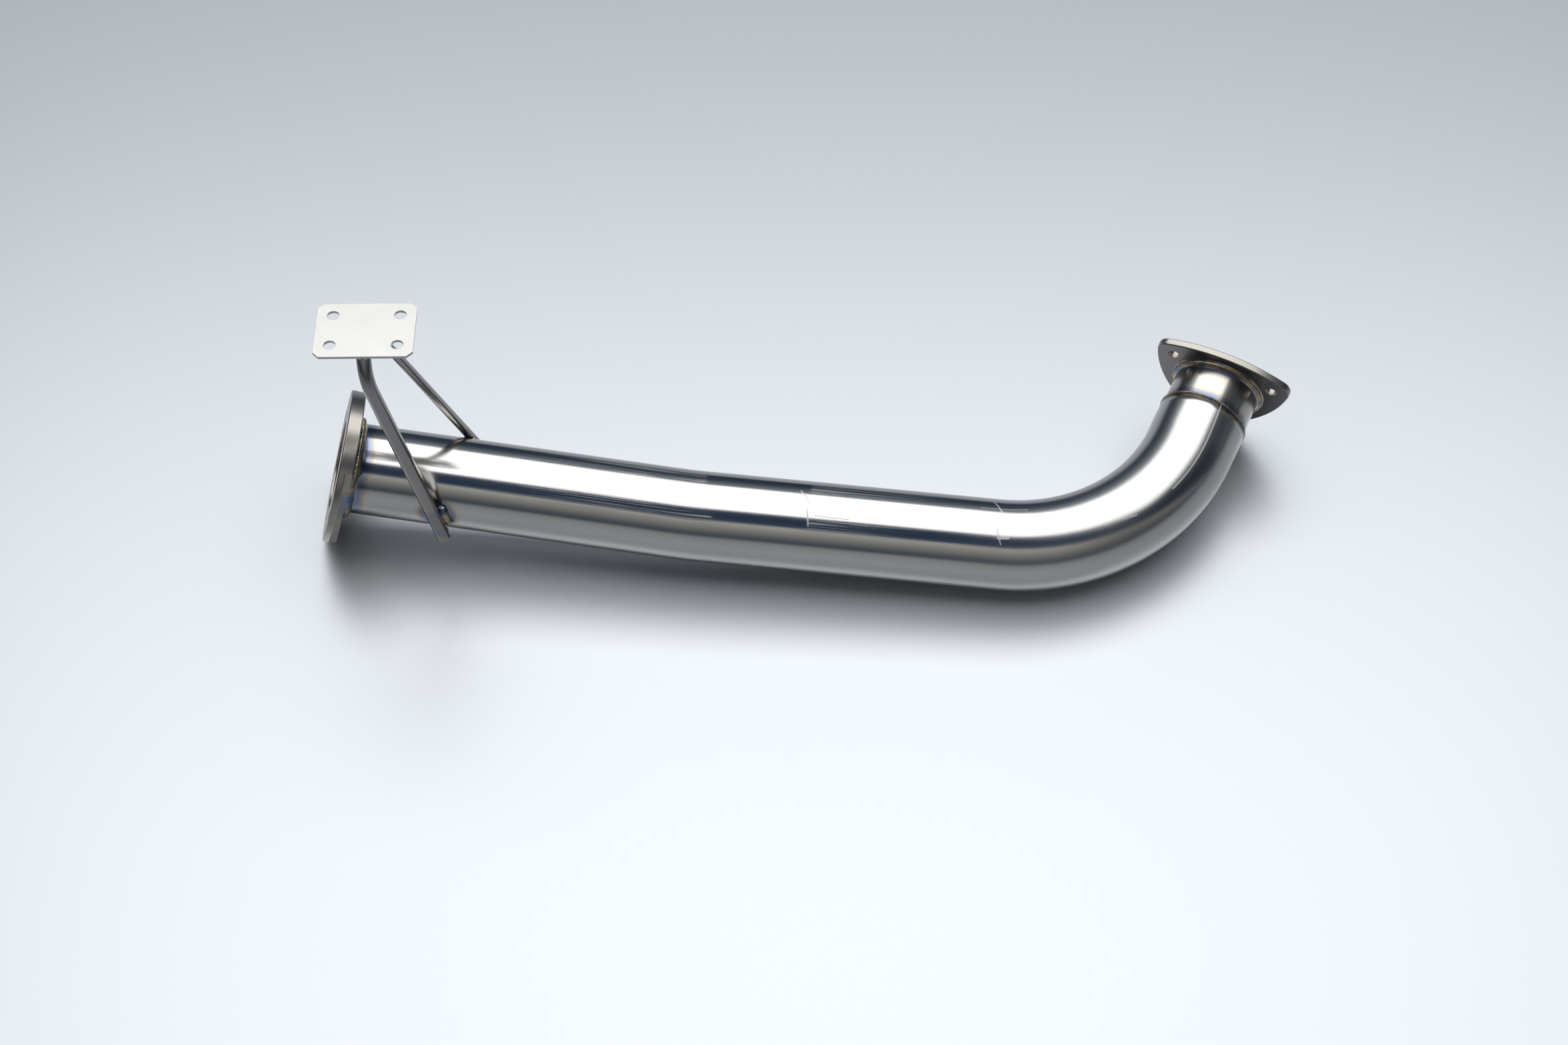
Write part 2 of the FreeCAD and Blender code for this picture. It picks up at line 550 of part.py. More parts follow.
def make_near_stay():
    foot, _, corner, top = near_stay_points()
    lower = corner - foot
    upper = top - corner
    turn = lower.getAngle(upper)
    tangent = size("NearBendRadius") * math.tan(turn / 2)
    leg = lower.Length - tangent
    body = new_body("near_stay_rod")
    path = new_sketch(body, "near_path", "XY_Plane")
    start = Vector(-size("NearBelow"), 0, 0)
    bend_start = Vector(leg, 0, 0)
    bend_centre = bend_start + Y_AXIS * size("NearBendRadius")
    heading = turned(math.degrees(turn))
    bend_end = bend_centre - turned(math.degrees(turn) + 90) * size("NearBendRadius")
    spare = upper.Length - tangent + size("NearRod")
    circle = Part.Circle(bend_centre, Z_AXIS, size("NearBendRadius"))
    path.addGeometry(Part.LineSegment(start, bend_start))
    path.addGeometry(Part.ArcOfCircle(circle, -math.pi / 2, turn - math.pi / 2))
    path.addGeometry(Part.LineSegment(bend_end, bend_end + heading * spare))
    path.addConstraint(Sketcher.Constraint("Tangent", 0, 2, 1, 1))
    path.addConstraint(Sketcher.Constraint("Tangent", 1, 2, 2, 1))
    path.addConstraint(Sketcher.Constraint("PointOnObject", 0, 1, -1))
    path.addConstraint(Sketcher.Constraint("Horizontal", 0))
    constrain(path, "Below", "Sizes.NearBelow", "DistanceX", 0, 1, -1, 1, size("NearBelow"))
    path.addConstraint(Sketcher.Constraint("DistanceX", -1, 1, 0, 2, leg))
    constrain(path, "Bend", "Sizes.NearBendRadius", "Radius", 1, size("NearBendRadius"))
    path.addConstraint(Sketcher.Constraint("Angle", 2, turn))
    path.addConstraint(Sketcher.Constraint("Distance", 2, spare))
    back = "placement(vector(0; 0; -Sizes.NearBelow); rotation(vector(0; 0; 1); 0))"
    section = new_sketch(body, "near_section", "YZ_Plane", back)
    add_circle(section, "Rod", "Sizes.NearRod / 2", size("NearRod") / 2)
    doc.recompute()
    sweep = body.newObject("PartDesign::AdditivePipe", "near_sweep")
    sweep.Profile = section
    sweep.Spine = (path, ["Edge1", "Edge2", "Edge3"])
    body.Placement = frame_from(foot, lower, upper)
    return cut_under_plate("near_stay", body)


def make_far_stay():
    foot, _, top = far_stay_points()
    along = top - foot
    rod = doc.addObject("Part::Cylinder", "far_stay_rod")
    bind(rod, Radius="Sizes.FarRod / 2", Height=f"{along.Length} + Sizes.FarBelow + 2 * Sizes.FarRod")
    start = foot - Vector(along).normalize() * size("FarBelow")
    rod.Placement = Placement(start, Rotation(Z_AXIS, along))
    return cut_under_plate("far_stay", rod)


# Fillet weld round a rod or tube that meets a flat face on the slant

def make_fillet_weld(label, point, normal, axis, radius, leg):
    """Skewed cone of three sections parallel to the face, bored for the tube or rod."""
    normal = Vector(normal).normalize()
    axis = Vector(axis).normalize()
    slant = axis.dot(normal)
    major = axis - normal * slant
    sections = []
    for number, (height, reach) in enumerate(FILLET_SECTIONS):
        centre = point + axis * (size(leg) * height / slant)
        ring = doc.addObject("Part::Ellipse", f"{label}_section_{number}")
        bind(ring, MajorRadius=f"{radius} / {slant} + {reach} * Sizes.{leg}",
             MinorRadius=f"{radius} + {reach} * Sizes.{leg}")
        ring.Placement = Placement(centre, Rotation(major, normal.cross(major), normal, "ZXY"))
        sections.append(ring)
    bead = doc.addObject("Part::Loft", label + "_bead")
    bead.Sections = sections
    bead.Solid = True
    bead.Ruled = True
    bore = doc.addObject("Part::Cylinder", label + "_bore")
    bind(bore, Radius=radius, Height=f"{2 * CUTTER_REACH}")
    bore.Placement = Placement(point - axis * CUTTER_REACH, Rotation(Z_AXIS, axis))
    weld = doc.addObject("Part::Cut", label)
    weld.Label = label
    weld.Base = bead
    weld.Tool = bore
    return weld


def make_flange_welds():
    rear_point = REAR_NORMAL * (size("RearDisc") + size("RearStep"))
    rear_point = TUBE_AXIS * (rear_point.dot(REAR_NORMAL) / TUBE_AXIS.dot(REAR_NORMAL))
    rear = make_fillet_weld("rear_flange_weld", rear_point, REAR_NORMAL, TUBE_AXIS,
                            "Sizes.TubeOuter / 2", "RearWeldLeg")
    front_point = COLLAR.multVec(X_AXIS * size("CollarRun"))
    front = make_fillet_weld("front_flange_weld", front_point, -FRONT_NORMAL, -COLLAR_AXIS,
                             "(Sizes.TubeOuter / 2 - Sizes.TubeWall)", "FrontWeldLeg")
    return [rear, front]


def make_plate_welds():
    corner, near_top = near_stay_points()[2:]
    near = make_fillet_weld("near_stay_plate_weld", near_top, -Z_AXIS, corner - near_top,
                            "Sizes.NearRod / 2", "StayWeldLeg")
    far_foot, _, far_top = far_stay_points()
    far = make_fillet_weld("far_stay_plate_weld", far_top, -Z_AXIS, far_foot - far_top,
                           "Sizes.FarRod / 2", "StayWeldLeg")
    return [near, far]


# Bead on the step where the collar leaves the tube

def make_collar_weld():
    body = new_body("collar_weld")
    section = new_sketch(body, "bead_section", "XY_Plane")
    inner = size("TubeOuter") / 2 - size("TubeWall")
    outer = size("TubeOuter") / 2
    width = size("CollarBead")
    radius = size("CollarBeadRadius")
    low = Vector(0, inner, 0)
    high = Vector(0, outer, 0)
    front = Vector(width, inner, 0)
    chord = front - high
    drop = math.sqrt(radius ** 2 - (chord.Length / 2) ** 2)
    centre = (high + front) * 0.5 - Vector(-chord.y, chord.x, 0).normalize() * drop
    from_centre = [math.atan2((point - centre).y, (point - centre).x) for point in (front, high)]
    section.addGeometry(Part.LineSegment(low, high))
    section.addGeometry(Part.LineSegment(low, front))
    section.addGeometry(Part.ArcOfCircle(Part.Circle(centre, Z_AXIS, radius), *from_centre))
    section.addConstraint(Sketcher.Constraint("Coincident", 0, 1, 1, 1))
    section.addConstraint(Sketcher.Constraint("Coincident", 1, 2, 2, 1))
    section.addConstraint(Sketcher.Constraint("Coincident", 0, 2, 2, 2))
    section.addConstraint(Sketcher.Constraint("Vertical", 0))
    section.addConstraint(Sketcher.Constraint("Horizontal", 1))
    section.addConstraint(Sketcher.Constraint("PointOnObject", 0, 1, -2))
    inner_rule = "Sizes.TubeOuter / 2 - Sizes.TubeWall"
    constrain(section, "Seat", inner_rule, "DistanceY", -1, 1, 0, 1, inner)
    constrain(section, "Wall", "Sizes.TubeWall", "DistanceY", 0, 1, 0, 2, outer - inner)
    constrain(section, "Width", "Sizes.CollarBead", "DistanceX", 1, 1, 1, 2, width)
    constrain(section, "Round", "Sizes.CollarBeadRadius", "Radius", 2, radius)
    doc.recompute()
    bead = body.newObject("PartDesign::Revolution", "collar_bead")
    bead.Profile = section
    bead.ReferenceAxis = (section, ["H_Axis"])
    bead.Angle = 360
    body.Placement = COLLAR
    return body


# Beads on both sides of each stay's foot, seated on the tube and on the rod

def make_bead_lump(name, rod):
    """Round bar with tapered ends, turned about the body's X axis."""
    body = new_body(name)
    profile = new_sketch(body, name + "_profile", "XY_Plane")
    half = size("FootBeadLength") / 2 * size(rod) / size("NearRod")
    width = size(rod) / 2 * FOOT_BEAD_WIDTH
    tip = width * FOOT_BEAD_TIP
    full = half * FOOT_BEAD_FULL
    corners = [Vector(across, up, 0) for across, up in
               ((-half, 0), (half, 0), (half, tip), (full, width), (-full, width), (-half, tip))]
    for number, corner in enumerate(corners):
        profile.addGeometry(Part.LineSegment(corner, corners[(number + 1) % 6]))
    for number in range(6):
        profile.addConstraint(Sketcher.Constraint("Coincident", number, 2, (number + 1) % 6, 1))
    for number, kind in ((0, "Horizontal"), (1, "Vertical"), (3, "Horizontal"), (5, "Vertical")):
        profile.addConstraint(Sketcher.Constraint(kind, number))
    profile.addConstraint(Sketcher.Constraint("Symmetric", 0, 1, 0, 2, -1, 1))
    profile.addConstraint(Sketcher.Constraint("Equal", 1, 5))
    profile.addConstraint(Sketcher.Constraint("Equal", 2, 4))
    half_rule = f"Sizes.FootBeadLength / 2 * Sizes.{rod} / Sizes.NearRod"
    width_rule = f"Sizes.{rod} / 2 * {FOOT_BEAD_WIDTH}"
    constrain(profile, "Chord", f"2 * {half_rule}", "DistanceX", 0, 1, 0, 2, 2 * half)
    constrain(profile, "Tip", f"{FOOT_BEAD_TIP} * {width_rule}", "DistanceY", 1, 1, 1, 2, tip)
    constrain(profile, "Width", width_rule, "DistanceY", -1, 1, 2, 2, width)
    constrain(profile, "Full", f"2 * {FOOT_BEAD_FULL} * {half_rule}", "DistanceX", 3, 2, 3, 1, 2 * full)
    doc.recompute()
    bar = body.newObject("PartDesign::Revolution", name + "_turned")
    bar.Profile = profile
    bar.ReferenceAxis = (profile, ["H_Axis"])
    bar.Angle = 360
    return body


def make_foot_beads(label, foot, outward, rod_axis, rod):
    rod_axis = Vector(rod_axis).normalize()
    beside = outward.cross(rod_axis).normalize()
    if beside.x < 0:
        beside = -beside
    rod_radius = size(rod) / 2
    contact = foot - outward * rod_radius
    beads = []
    for side, word in ((-1, "rear"), (1, "front")):
        name = f"{label}_weld_{word}"
        lump = make_bead_lump(name + "_lump", rod)
        centre = contact + beside * (side * FOOT_BEAD_OFFSET * rod_radius)
        lump.Placement = frame_from(centre, rod_axis, outward)
        tube = doc.addObject("Part::Cylinder", name + "_tube")
        bind(tube, Radius="Sizes.TubeOuter / 2", Height=f"{2 * CUTTER_REACH}")
        middle = TUBE_AXIS * contact.dot(TUBE_AXIS)
        tube.Placement = Placement(middle - TUBE_AXIS * CUTTER_REACH, Rotation(Z_AXIS, TUBE_AXIS))
        rod_cutter = doc.addObject("Part::Cylinder", name + "_rod")
        bind(rod_cutter, Radius=f"Sizes.{rod} / 2", Height=f"{2 * CUTTER_REACH}")
        rod_cutter.Placement = Placement(foot - rod_axis * CUTTER_REACH, Rotation(Z_AXIS, rod_axis))
        on_tube = doc.addObject("Part::Cut", name + "_on_tube")
        on_tube.Base = lump
        on_tube.Tool = tube
        bead = doc.addObject("Part::Cut", name)
        bead.Label = name
        bead.Base = on_tube
        bead.Tool = rod_cutter
        beads.append(bead)
    return beads


def make_stay_foot_welds():
    foot, outward, corner = near_stay_points()[:3]
    near = make_foot_beads("near_stay", foot, outward, corner - foot, "NearRod")
    foot, outward, top = far_stay_points()
    far = make_foot_beads("far_stay", foot, outward, top - foot, "FarRod")
    return near + far


def build_pieces():
    pieces = [make_main_tube(), make_front_collar(), make_rear_flange(), make_front_flange()]
    pieces += [make_bracket_plate(), make_near_stay(), make_far_stay(), make_collar_weld()]
    pieces += make_flange_welds()
    pieces += make_plate_welds()
    pieces += make_stay_foot_welds()
    return pieces


def move_to_origin(pieces):
    """Shift every piece so that the middle of the footprint is the origin and the floor is at zero."""
    doc.recompute()
    box = FreeCAD.BoundBox()
    for piece in pieces:
        box.add(piece.Shape.optimalBoundingBox(False, False))
    shift = Placement(Vector(-box.Center.x, -box.Center.y, -box.ZMin), Rotation())
    for piece in pieces:
        piece.Placement = shift * piece.Placement
    doc.recompute()


def check_document(pieces):
    """Stop if any object failed or any piece is not a sound solid."""
    for item in doc.Objects:
        if "Invalid" in item.State or "Error" in item.State:
            raise RuntimeError(f"{item.Name} failed: {item.State}")
    for piece in pieces:
        if piece.Shape.isNull() or not piece.Shape.isValid():
            raise RuntimeError(f"{piece.Label} has no valid shape")
        if len(piece.Shape.Solids) != 1:
            raise RuntimeError(f"{piece.Label} has {len(piece.Shape.Solids)} solids")


def export_pieces(pieces):
    os.makedirs("parts", exist_ok=True)
    for piece in pieces:
        piece.Shape.exportStep(f"parts/{piece.Label}.step")
        print(piece.Label, round(piece.Shape.Volume, 1))


part_pieces = build_pieces()
move_to_origin(part_pieces)
check_document(part_pieces)
export_pieces(part_pieces)
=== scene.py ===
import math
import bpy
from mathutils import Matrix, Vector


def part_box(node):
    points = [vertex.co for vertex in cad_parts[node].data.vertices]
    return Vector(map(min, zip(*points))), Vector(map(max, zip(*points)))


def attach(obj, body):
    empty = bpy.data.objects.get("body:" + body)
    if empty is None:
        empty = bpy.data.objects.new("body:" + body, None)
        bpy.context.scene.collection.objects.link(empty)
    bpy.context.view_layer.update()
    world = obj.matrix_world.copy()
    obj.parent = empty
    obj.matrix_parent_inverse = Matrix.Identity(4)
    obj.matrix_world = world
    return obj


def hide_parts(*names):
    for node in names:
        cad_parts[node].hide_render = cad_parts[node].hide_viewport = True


bl_info = {
    "name": "Exhaust Front Pipe",
    "version": (1, 0, 0),
    "blender": (4, 5, 0),
    "location": "View3D > Sidebar > Exhaust",
    "description": "Dresses the frame of a stainless exhaust front pipe: tube, flanges, stays and welds",
    "category": "Object",
}

import bmesh
import bpy
from bpy.props import FloatProperty, FloatVectorProperty, IntProperty, PointerProperty
from mathutils import Euler, Matrix, Vector

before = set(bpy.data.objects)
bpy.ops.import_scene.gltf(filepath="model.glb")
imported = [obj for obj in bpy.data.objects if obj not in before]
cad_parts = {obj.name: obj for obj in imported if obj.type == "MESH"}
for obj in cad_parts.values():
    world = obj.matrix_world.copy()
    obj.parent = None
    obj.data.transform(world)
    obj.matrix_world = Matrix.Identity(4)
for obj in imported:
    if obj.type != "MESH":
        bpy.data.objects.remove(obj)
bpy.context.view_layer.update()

MM = 0.001
X_AXIS = Vector((1, 0, 0))
Y_AXIS = Vector((0, 1, 0))
Z_AXIS = Vector((0, 0, 1))

# Where the part lies: the middle of the rear flange's outer face, and the turn of the long straight
PIPE_ORIGIN = Vector((-394.957, -0.963, 65.649)) * MM
PIPE_TURN = Euler((math.radians(10.36), math.radians(2.981), math.radians(-8.685)), "XYZ").to_matrix()


def linear(hex_colour):
    """Linear colour with alpha from an sRGB hex value such as #C8C4BC."""
    values = [int(hex_colour[i:i + 2], 16) / 255 for i in (1, 3, 5)]
    return [v / 12.92 if v <= 0.04045 else ((v + 0.055) / 1.055) ** 2.4 for v in values] + [1.0]


def length(name, description, millimetres):
    """A size property in metres, given in millimetres."""
    return FloatProperty(name=name, description=description, default=millimetres * MM, unit="LENGTH")


def angle(name, description, degrees):
    """An angle property in radians, given in degrees."""
    return FloatProperty(name=name, description=description, default=math.radians(degrees), subtype="ANGLE")


def colour(name, description, hex_colour):
    """A colour property from an sRGB hex value."""
    return FloatVectorProperty(name=name, description=description, default=linear(hex_colour)[:3],
                               subtype="COLOR", size=3, min=0, max=1)


# Settings that a user would change

class TubeSizes(bpy.types.PropertyGroup):
    outer: length("Outside diameter", "Outside diameter of the main tube", 76.3)
    wall: length("Wall", "Wall of the tube and the collar", 1.5)
    rear_run: length("Rear run", "First straight, from the rear flange's face", 289.2)
    kink_angle: angle("Kink", "Slight bend between the straights", 2.99)
    kink_radius: length("Kink radius", "Centreline radius of the slight bend", 500.0)
    middle_run: length("Middle run", "Second straight, up to the elbow", 244.9)
    elbow_angle: angle("Elbow", "Turn of the elbow", 71.7)
    elbow_radius: length("Elbow radius", "Centreline radius of the elbow", 163.0)
    front_run: length("Front run", "Straight stub after the elbow", 30.5)
    collar_insert: length("Collar insert", "Collar inside the tube", 10.0)
    collar_run: length("Collar run", "Visible length of the collar", 38.0)
    end_setback: length("End setback", "Tube's end below a flange's face", 2.0)
    sides: IntProperty(name="Sides", description="Facets round the tube", default=128)


class FlangeSizes(bpy.types.PropertyGroup):
    rear_thickness: length("Rear thickness", "Rear flange at the tube", 12.0)
    rear_lean: angle("Rear lean", "Lean of the rear flange against the tube", 13.42)
    rear_swing: angle("Rear swing", "Sideways turn of the rear flange", 4.27)
    front_thickness: length("Front thickness", "Front flange", 6.5)
    front_tilt: angle("Front tilt", "Upward tilt of the front flange", -4.63)
    front_swing: angle("Front swing", "Sideways turn of the front flange", 1.55)
    edge_round: length("Edge round", "Worn roundness of the flanges' and the plate's edges", 0.25)


class StaySizes(bpy.types.PropertyGroup):
    near_rod: length("Near rod", "Diameter of the near stay", 12.0)
    near_station: length("Near station", "Near stay's foot along the tube", 95.0)
    near_below: length("Near end", "Near stay below its foot", 20.0)
    near_bend: length("Near bend", "Centreline radius of the near stay's bend", 42.0)
    near_drop: length("Bend drop", "Bend corner below the plate", 15.0)
    near_reach: length("Bend reach", "Bend corner outside the plate", 4.5)
    near_inset: length("Top inset", "Near stay's top inside the plate's edge", 12.0)
    far_rod: length("Far rod", "Diameter of the far stay", 8.0)
    far_station: length("Far station", "Far stay's foot along the tube", 108.0)
    far_below: length("Far end", "Far stay below its foot", 15.0)
    far_side: length("Far side", "Far stay's top beside the plate's centre", 7.5)


class WeldSizes(bpy.types.PropertyGroup):
    pitch: length("Ripple pitch", "Distance between the ripples of a bead", 1.7)
    rear_leg: length("Rear leg", "Leg of the rear flange's weld", 6.0)
    front_leg: length("Front leg", "Leg of the front flange's weld", 4.5)
    collar_bead: length("Collar bead", "Width of the collar's bead", 2.8)
    plate_leg: length("Plate leg", "Leg of the welds under the plate", 2.5)
    foot_length: length("Foot bead", "Length of the beads beside the near stay's foot", 20.0)
    seed: IntProperty(name="Seed", description="Seed of the ripples' unevenness", default=7)


class FinishColours(bpy.types.PropertyGroup):
    tube: colour("Tube", "Polished stainless tube", "#CFCECB")
    collar: colour("Collar", "Collar, linished", "#D2D0CA")
    flange: colour("Flange", "Cut stainless plate", "#B0ABA3")
    plate: colour("Plate", "Bracket plate, satin", "#CFCDC8")
    # Painted shade: the flanges' faces towards the tube are darkened as if they mirrored the shadowed floor
    skin: colour("Painted shade", "Painted shade of the flanges' faces", "#6E6C6C")
    rod: colour("Rod", "Drawn rod", "#ABA8A6")
    weld: colour("Weld", "Bare bead of filler metal", "#8C8985")
    straw: colour("Straw", "Lightest heat tint", "#CDB68C")
    bronze: colour("Bronze", "Middle heat tint", "#8A7060")
    blue: colour("Blue", "Strongest heat tint", "#56719E")
    floor: colour("Floor", "Satin studio floor", "#DDE0E4")


class StageSettings(bpy.types.PropertyGroup):
    softbox_power: FloatProperty(name="Softbox", description="Power of the overhead softbox", default=48.0,
                                 unit="POWER")
    softbox_height: length("Softbox height", "Height of the overhead softbox", 1800.0)
    room_strength: FloatProperty(name="Room", description="Brightness of the room", default=1.0)


def settings():
    """The add-on's settings of the scene."""
    return bpy.context.scene.exhaust_pipe


class PipeSettings(bpy.types.PropertyGroup):
    tube: PointerProperty(type=TubeSizes)
    flange: PointerProperty(type=FlangeSizes)
    stay: PointerProperty(type=StaySizes)
    weld: PointerProperty(type=WeldSizes)
    finish: PointerProperty(type=FinishColours)
    stage: PointerProperty(type=StageSettings)


# Places, in the row frame

def turned(direction_angle):
    """Direction in the tube's own plane."""
    return Vector((math.cos(direction_angle), math.sin(direction_angle), 0))


def placed(point):
    """A point of the tube's own frame in the row frame."""
    return PIPE_ORIGIN + PIPE_TURN @ point


def tube_axis():
    return PIPE_TURN @ X_AXIS


def final_angle():
    tube = settings().tube
    return tube.kink_angle + tube.elbow_angle


def collar_axis():
    return PIPE_TURN @ turned(final_angle())


def tube_corners():
    """Ends of the straights, in the tube's own frame."""
    tube = settings().tube
    kink_start = Vector((tube.rear_run, 0, 0))
    kink_end = kink_start + (Y_AXIS - turned(tube.kink_angle + math.pi / 2)) * tube.kink_radius
    elbow_start = kink_end + turned(tube.kink_angle) * tube.middle_run
    swing = turned(tube.kink_angle + math.pi / 2) - turned(final_angle() + math.pi / 2)
    elbow_end = elbow_start + swing * tube.elbow_radius
    return kink_start, kink_end, elbow_start, elbow_end


def collar_start():
    """Where the collar leaves the tube, in the row frame."""
    tube = settings().tube
    return placed(tube_corners()[3] + turned(final_angle()) * tube.front_run)


def collar_end():
    """Where the collar's axis meets the front flange's face on the tube's side, in the row frame."""
    return collar_start() + collar_axis() * settings().tube.collar_run


def slanted(axis_turn, swing, lean):
    """Normal of a flange that leans against the tube."""
    return axis_turn @ Euler((0, lean, swing), "XYZ").to_matrix() @ X_AXIS


def rear_normal():
    flange = settings().flange
    return slanted(PIPE_TURN, flange.rear_swing, flange.rear_lean)


def front_normal():
    flange = settings().flange
    collar_turn = PIPE_TURN @ Matrix.Rotation(final_angle(), 3, "Z")
    return slanted(collar_turn, flange.front_swing, flange.front_tilt)


def plate_box():
    """Centre, half size and underside height of the bracket plate."""
    low, high = (Vector(corner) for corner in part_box("bracket_plate"))
    return (low + high) / 2, (high - low) / 2, low.z


def tangent_foot(target, station, distance, side):
    """Point on a rod's axis where it lies along the tube's side, and the outward direction there."""
    axis = tube_axis()
    relative = target - PIPE_ORIGIN
    across = relative - axis * relative.dot(axis)
    toward = across.normalized()
    beside = axis.cross(toward)
    share = distance / across.length
    rest = math.sqrt(1 - share ** 2)
    choices = (toward * share + beside * rest, toward * share - beside * rest)
    outward = max(choices, key=lambda direction: direction.y * side)
    return PIPE_ORIGIN + axis * station + outward * distance, outward


def near_stay_points():
    """Foot, outward direction, bend corner and top of the near stay's axis."""
    stay = settings().stay
    centre, half, underside = plate_box()
    near_edge = centre.y - half.y
    corner = Vector((centre.x, near_edge - stay.near_reach, underside - stay.near_drop))
    top = Vector((centre.x, near_edge + stay.near_inset, underside))
    distance = (settings().tube.outer + stay.near_rod) / 2
    foot, outward = tangent_foot(corner, stay.near_station, distance, -1)
    return foot, outward, corner, top


def far_stay_points():
    """Foot, outward direction and top of the far stay's axis."""
    stay = settings().stay
    centre, _, underside = plate_box()
    top = Vector((centre.x + stay.far_side, centre.y, underside))
    distance = (settings().tube.outer + stay.far_rod) / 2
    foot, outward = tangent_foot(top, stay.far_station, distance, 1)
    return foot, outward, top


# Node helpers

def add(tree, kind, links=None, stops=(), **values):
    """Adds a node, sets its properties and a ramp's stops, and fills its inputs with values or links."""
    node = tree.nodes.new(kind)
    for name, value in values.items():
        setattr(node, name, value)
    for key, value in (links or {}).items():
        if isinstance(value, bpy.types.NodeSocket):
            tree.links.new(value, node.inputs[key])
        else:
            node.inputs[key].default_value = value
    for number, (position, tone) in enumerate(stops):
        ramp = node.color_ramp.elements
        if number == len(ramp):
            ramp.new(position)
        ramp[number].position = position
        ramp[number].color = (*tone[:3], 1.0)
    return node


def shaded(tone, share=1.0):
    """A colour property with alpha, darkened to a share of its brightness."""
    return (*[value * share for value in tone], 1.0)


# Geometry Nodes: a tube or rod along its centreline, and a weld bead along its seam

def new_tree(name, sockets):
    """An empty Geometry Nodes tree with a geometry input and output and the named inputs."""
    tree = bpy.data.node_groups.new(name, "GeometryNodeTree")
    tree.interface.new_socket(name="Geometry", in_out="INPUT", socket_type="NodeSocketGeometry")
    for socket_name, kind in sockets:
        tree.interface.new_socket(name=socket_name, in_out="INPUT", socket_type=kind)
    tree.interface.new_socket(name="Geometry", in_out="OUTPUT", socket_type="NodeSocketGeometry")
    return tree


def finish_tree(tree, source, geometry):
    """Ends a tree in Realize Instances and Set Material."""
    real = add(tree, "GeometryNodeRealizeInstances", {"Geometry": geometry})
    smooth = add(tree, "GeometryNodeSetShadeSmooth", {"Geometry": real.outputs[0]})
    painted = add(tree, "GeometryNodeSetMaterial",
                  {"Geometry": smooth.outputs[0], "Material": source.outputs["Finish"]})
    add(tree, "NodeGroupOutput", {"Geometry": painted.outputs[0]})
    return tree


def sweep_tree():
    """Sweeps a circle along a centreline and keeps each point's place on the straightened tube."""
    tree = new_tree("tube_sweep", (("Radius", "NodeSocketFloat"), ("Sides", "NodeSocketInt"),
                                   ("Caps", "NodeSocketBool"), ("Finish", "NodeSocketMaterial")))
    source = add(tree, "NodeGroupInput")
    run = add(tree, "GeometryNodeSplineParameter")
    path = add(tree, "GeometryNodeCaptureAttribute")
    path.capture_items.new("FLOAT", "Run")
    tree.links.new(source.outputs["Geometry"], path.inputs["Geometry"])
    tree.links.new(run.outputs["Length"], path.inputs["Run"])
    circle = add(tree, "GeometryNodeCurvePrimitiveCircle",
                 {"Resolution": source.outputs["Sides"], "Radius": source.outputs["Radius"]})
    place = add(tree, "GeometryNodeInputPosition")
    section = add(tree, "GeometryNodeCaptureAttribute")
    section.capture_items.new("VECTOR", "Round")
    tree.links.new(circle.outputs["Curve"], section.inputs["Geometry"])
    tree.links.new(place.outputs["Position"], section.inputs["Round"])
    swept = add(tree, "GeometryNodeCurveToMesh",
                {"Curve": path.outputs["Geometry"], "Profile Curve": section.outputs["Geometry"],
                 "Fill Caps": source.outputs["Caps"]})
    parts = add(tree, "ShaderNodeSeparateXYZ", {"Vector": section.outputs["Round"]})
    straight = add(tree, "ShaderNodeCombineXYZ",
                   {"X": path.outputs["Run"], "Y": parts.outputs["X"], "Z": parts.outputs["Y"]})
    stored = add(tree, "GeometryNodeStoreNamedAttribute",
                 {"Geometry": swept.outputs["Mesh"], "Name": "straightened"},
                 data_type="FLOAT_VECTOR", domain="POINT")
    tree.links.new(straight.outputs["Vector"], stored.inputs["Value"])
    return finish_tree(tree, source, stored.outputs["Geometry"])


def bead_tree():
    """Lays one flat drop of filler metal after another along each seam."""
    tree = new_tree("weld_bead", (("Pitch", "NodeSocketFloat"), ("Seed", "NodeSocketInt"),
                                  ("Finish", "NodeSocketMaterial")))
    source = add(tree, "NodeGroupInput")
    drops = add(tree, "GeometryNodeCurveToPoints",
                {"Curve": source.outputs["Geometry"], "Length": source.outputs["Pitch"]}, mode="LENGTH")
    facing = add(tree, "FunctionNodeAlignRotationToVector", {"Vector": drops.outputs["Tangent"]}, axis="Z")
    drop = add(tree, "GeometryNodeMeshUVSphere", {"Segments": 14, "Rings": 8, "Radius": 1.0})
    width = add(tree, "GeometryNodeInputRadius")
    uneven = add(tree, "FunctionNodeRandomValue", {2: 0.94, 3: 1.06, "Seed": source.outputs["Seed"]},
                 data_type="FLOAT")
    across = add(tree, "ShaderNodeMath", {0: width.outputs["Radius"], 1: uneven.outputs[1]},
                 operation="MULTIPLY")
    along = add(tree, "ShaderNodeMath", {0: source.outputs["Pitch"], 1: 1.25}, operation="MULTIPLY")
    shape = add(tree, "ShaderNodeCombineXYZ",
                {"X": across.outputs[0], "Y": across.outputs[0], "Z": along.outputs[0]})
    laid = add(tree, "GeometryNodeInstanceOnPoints",
               {"Points": drops.outputs["Points"], "Instance": drop.outputs["Mesh"],
                "Rotation": facing.outputs["Rotation"], "Scale": shape.outputs["Vector"]})
    return finish_tree(tree, source, laid.outputs["Instances"])


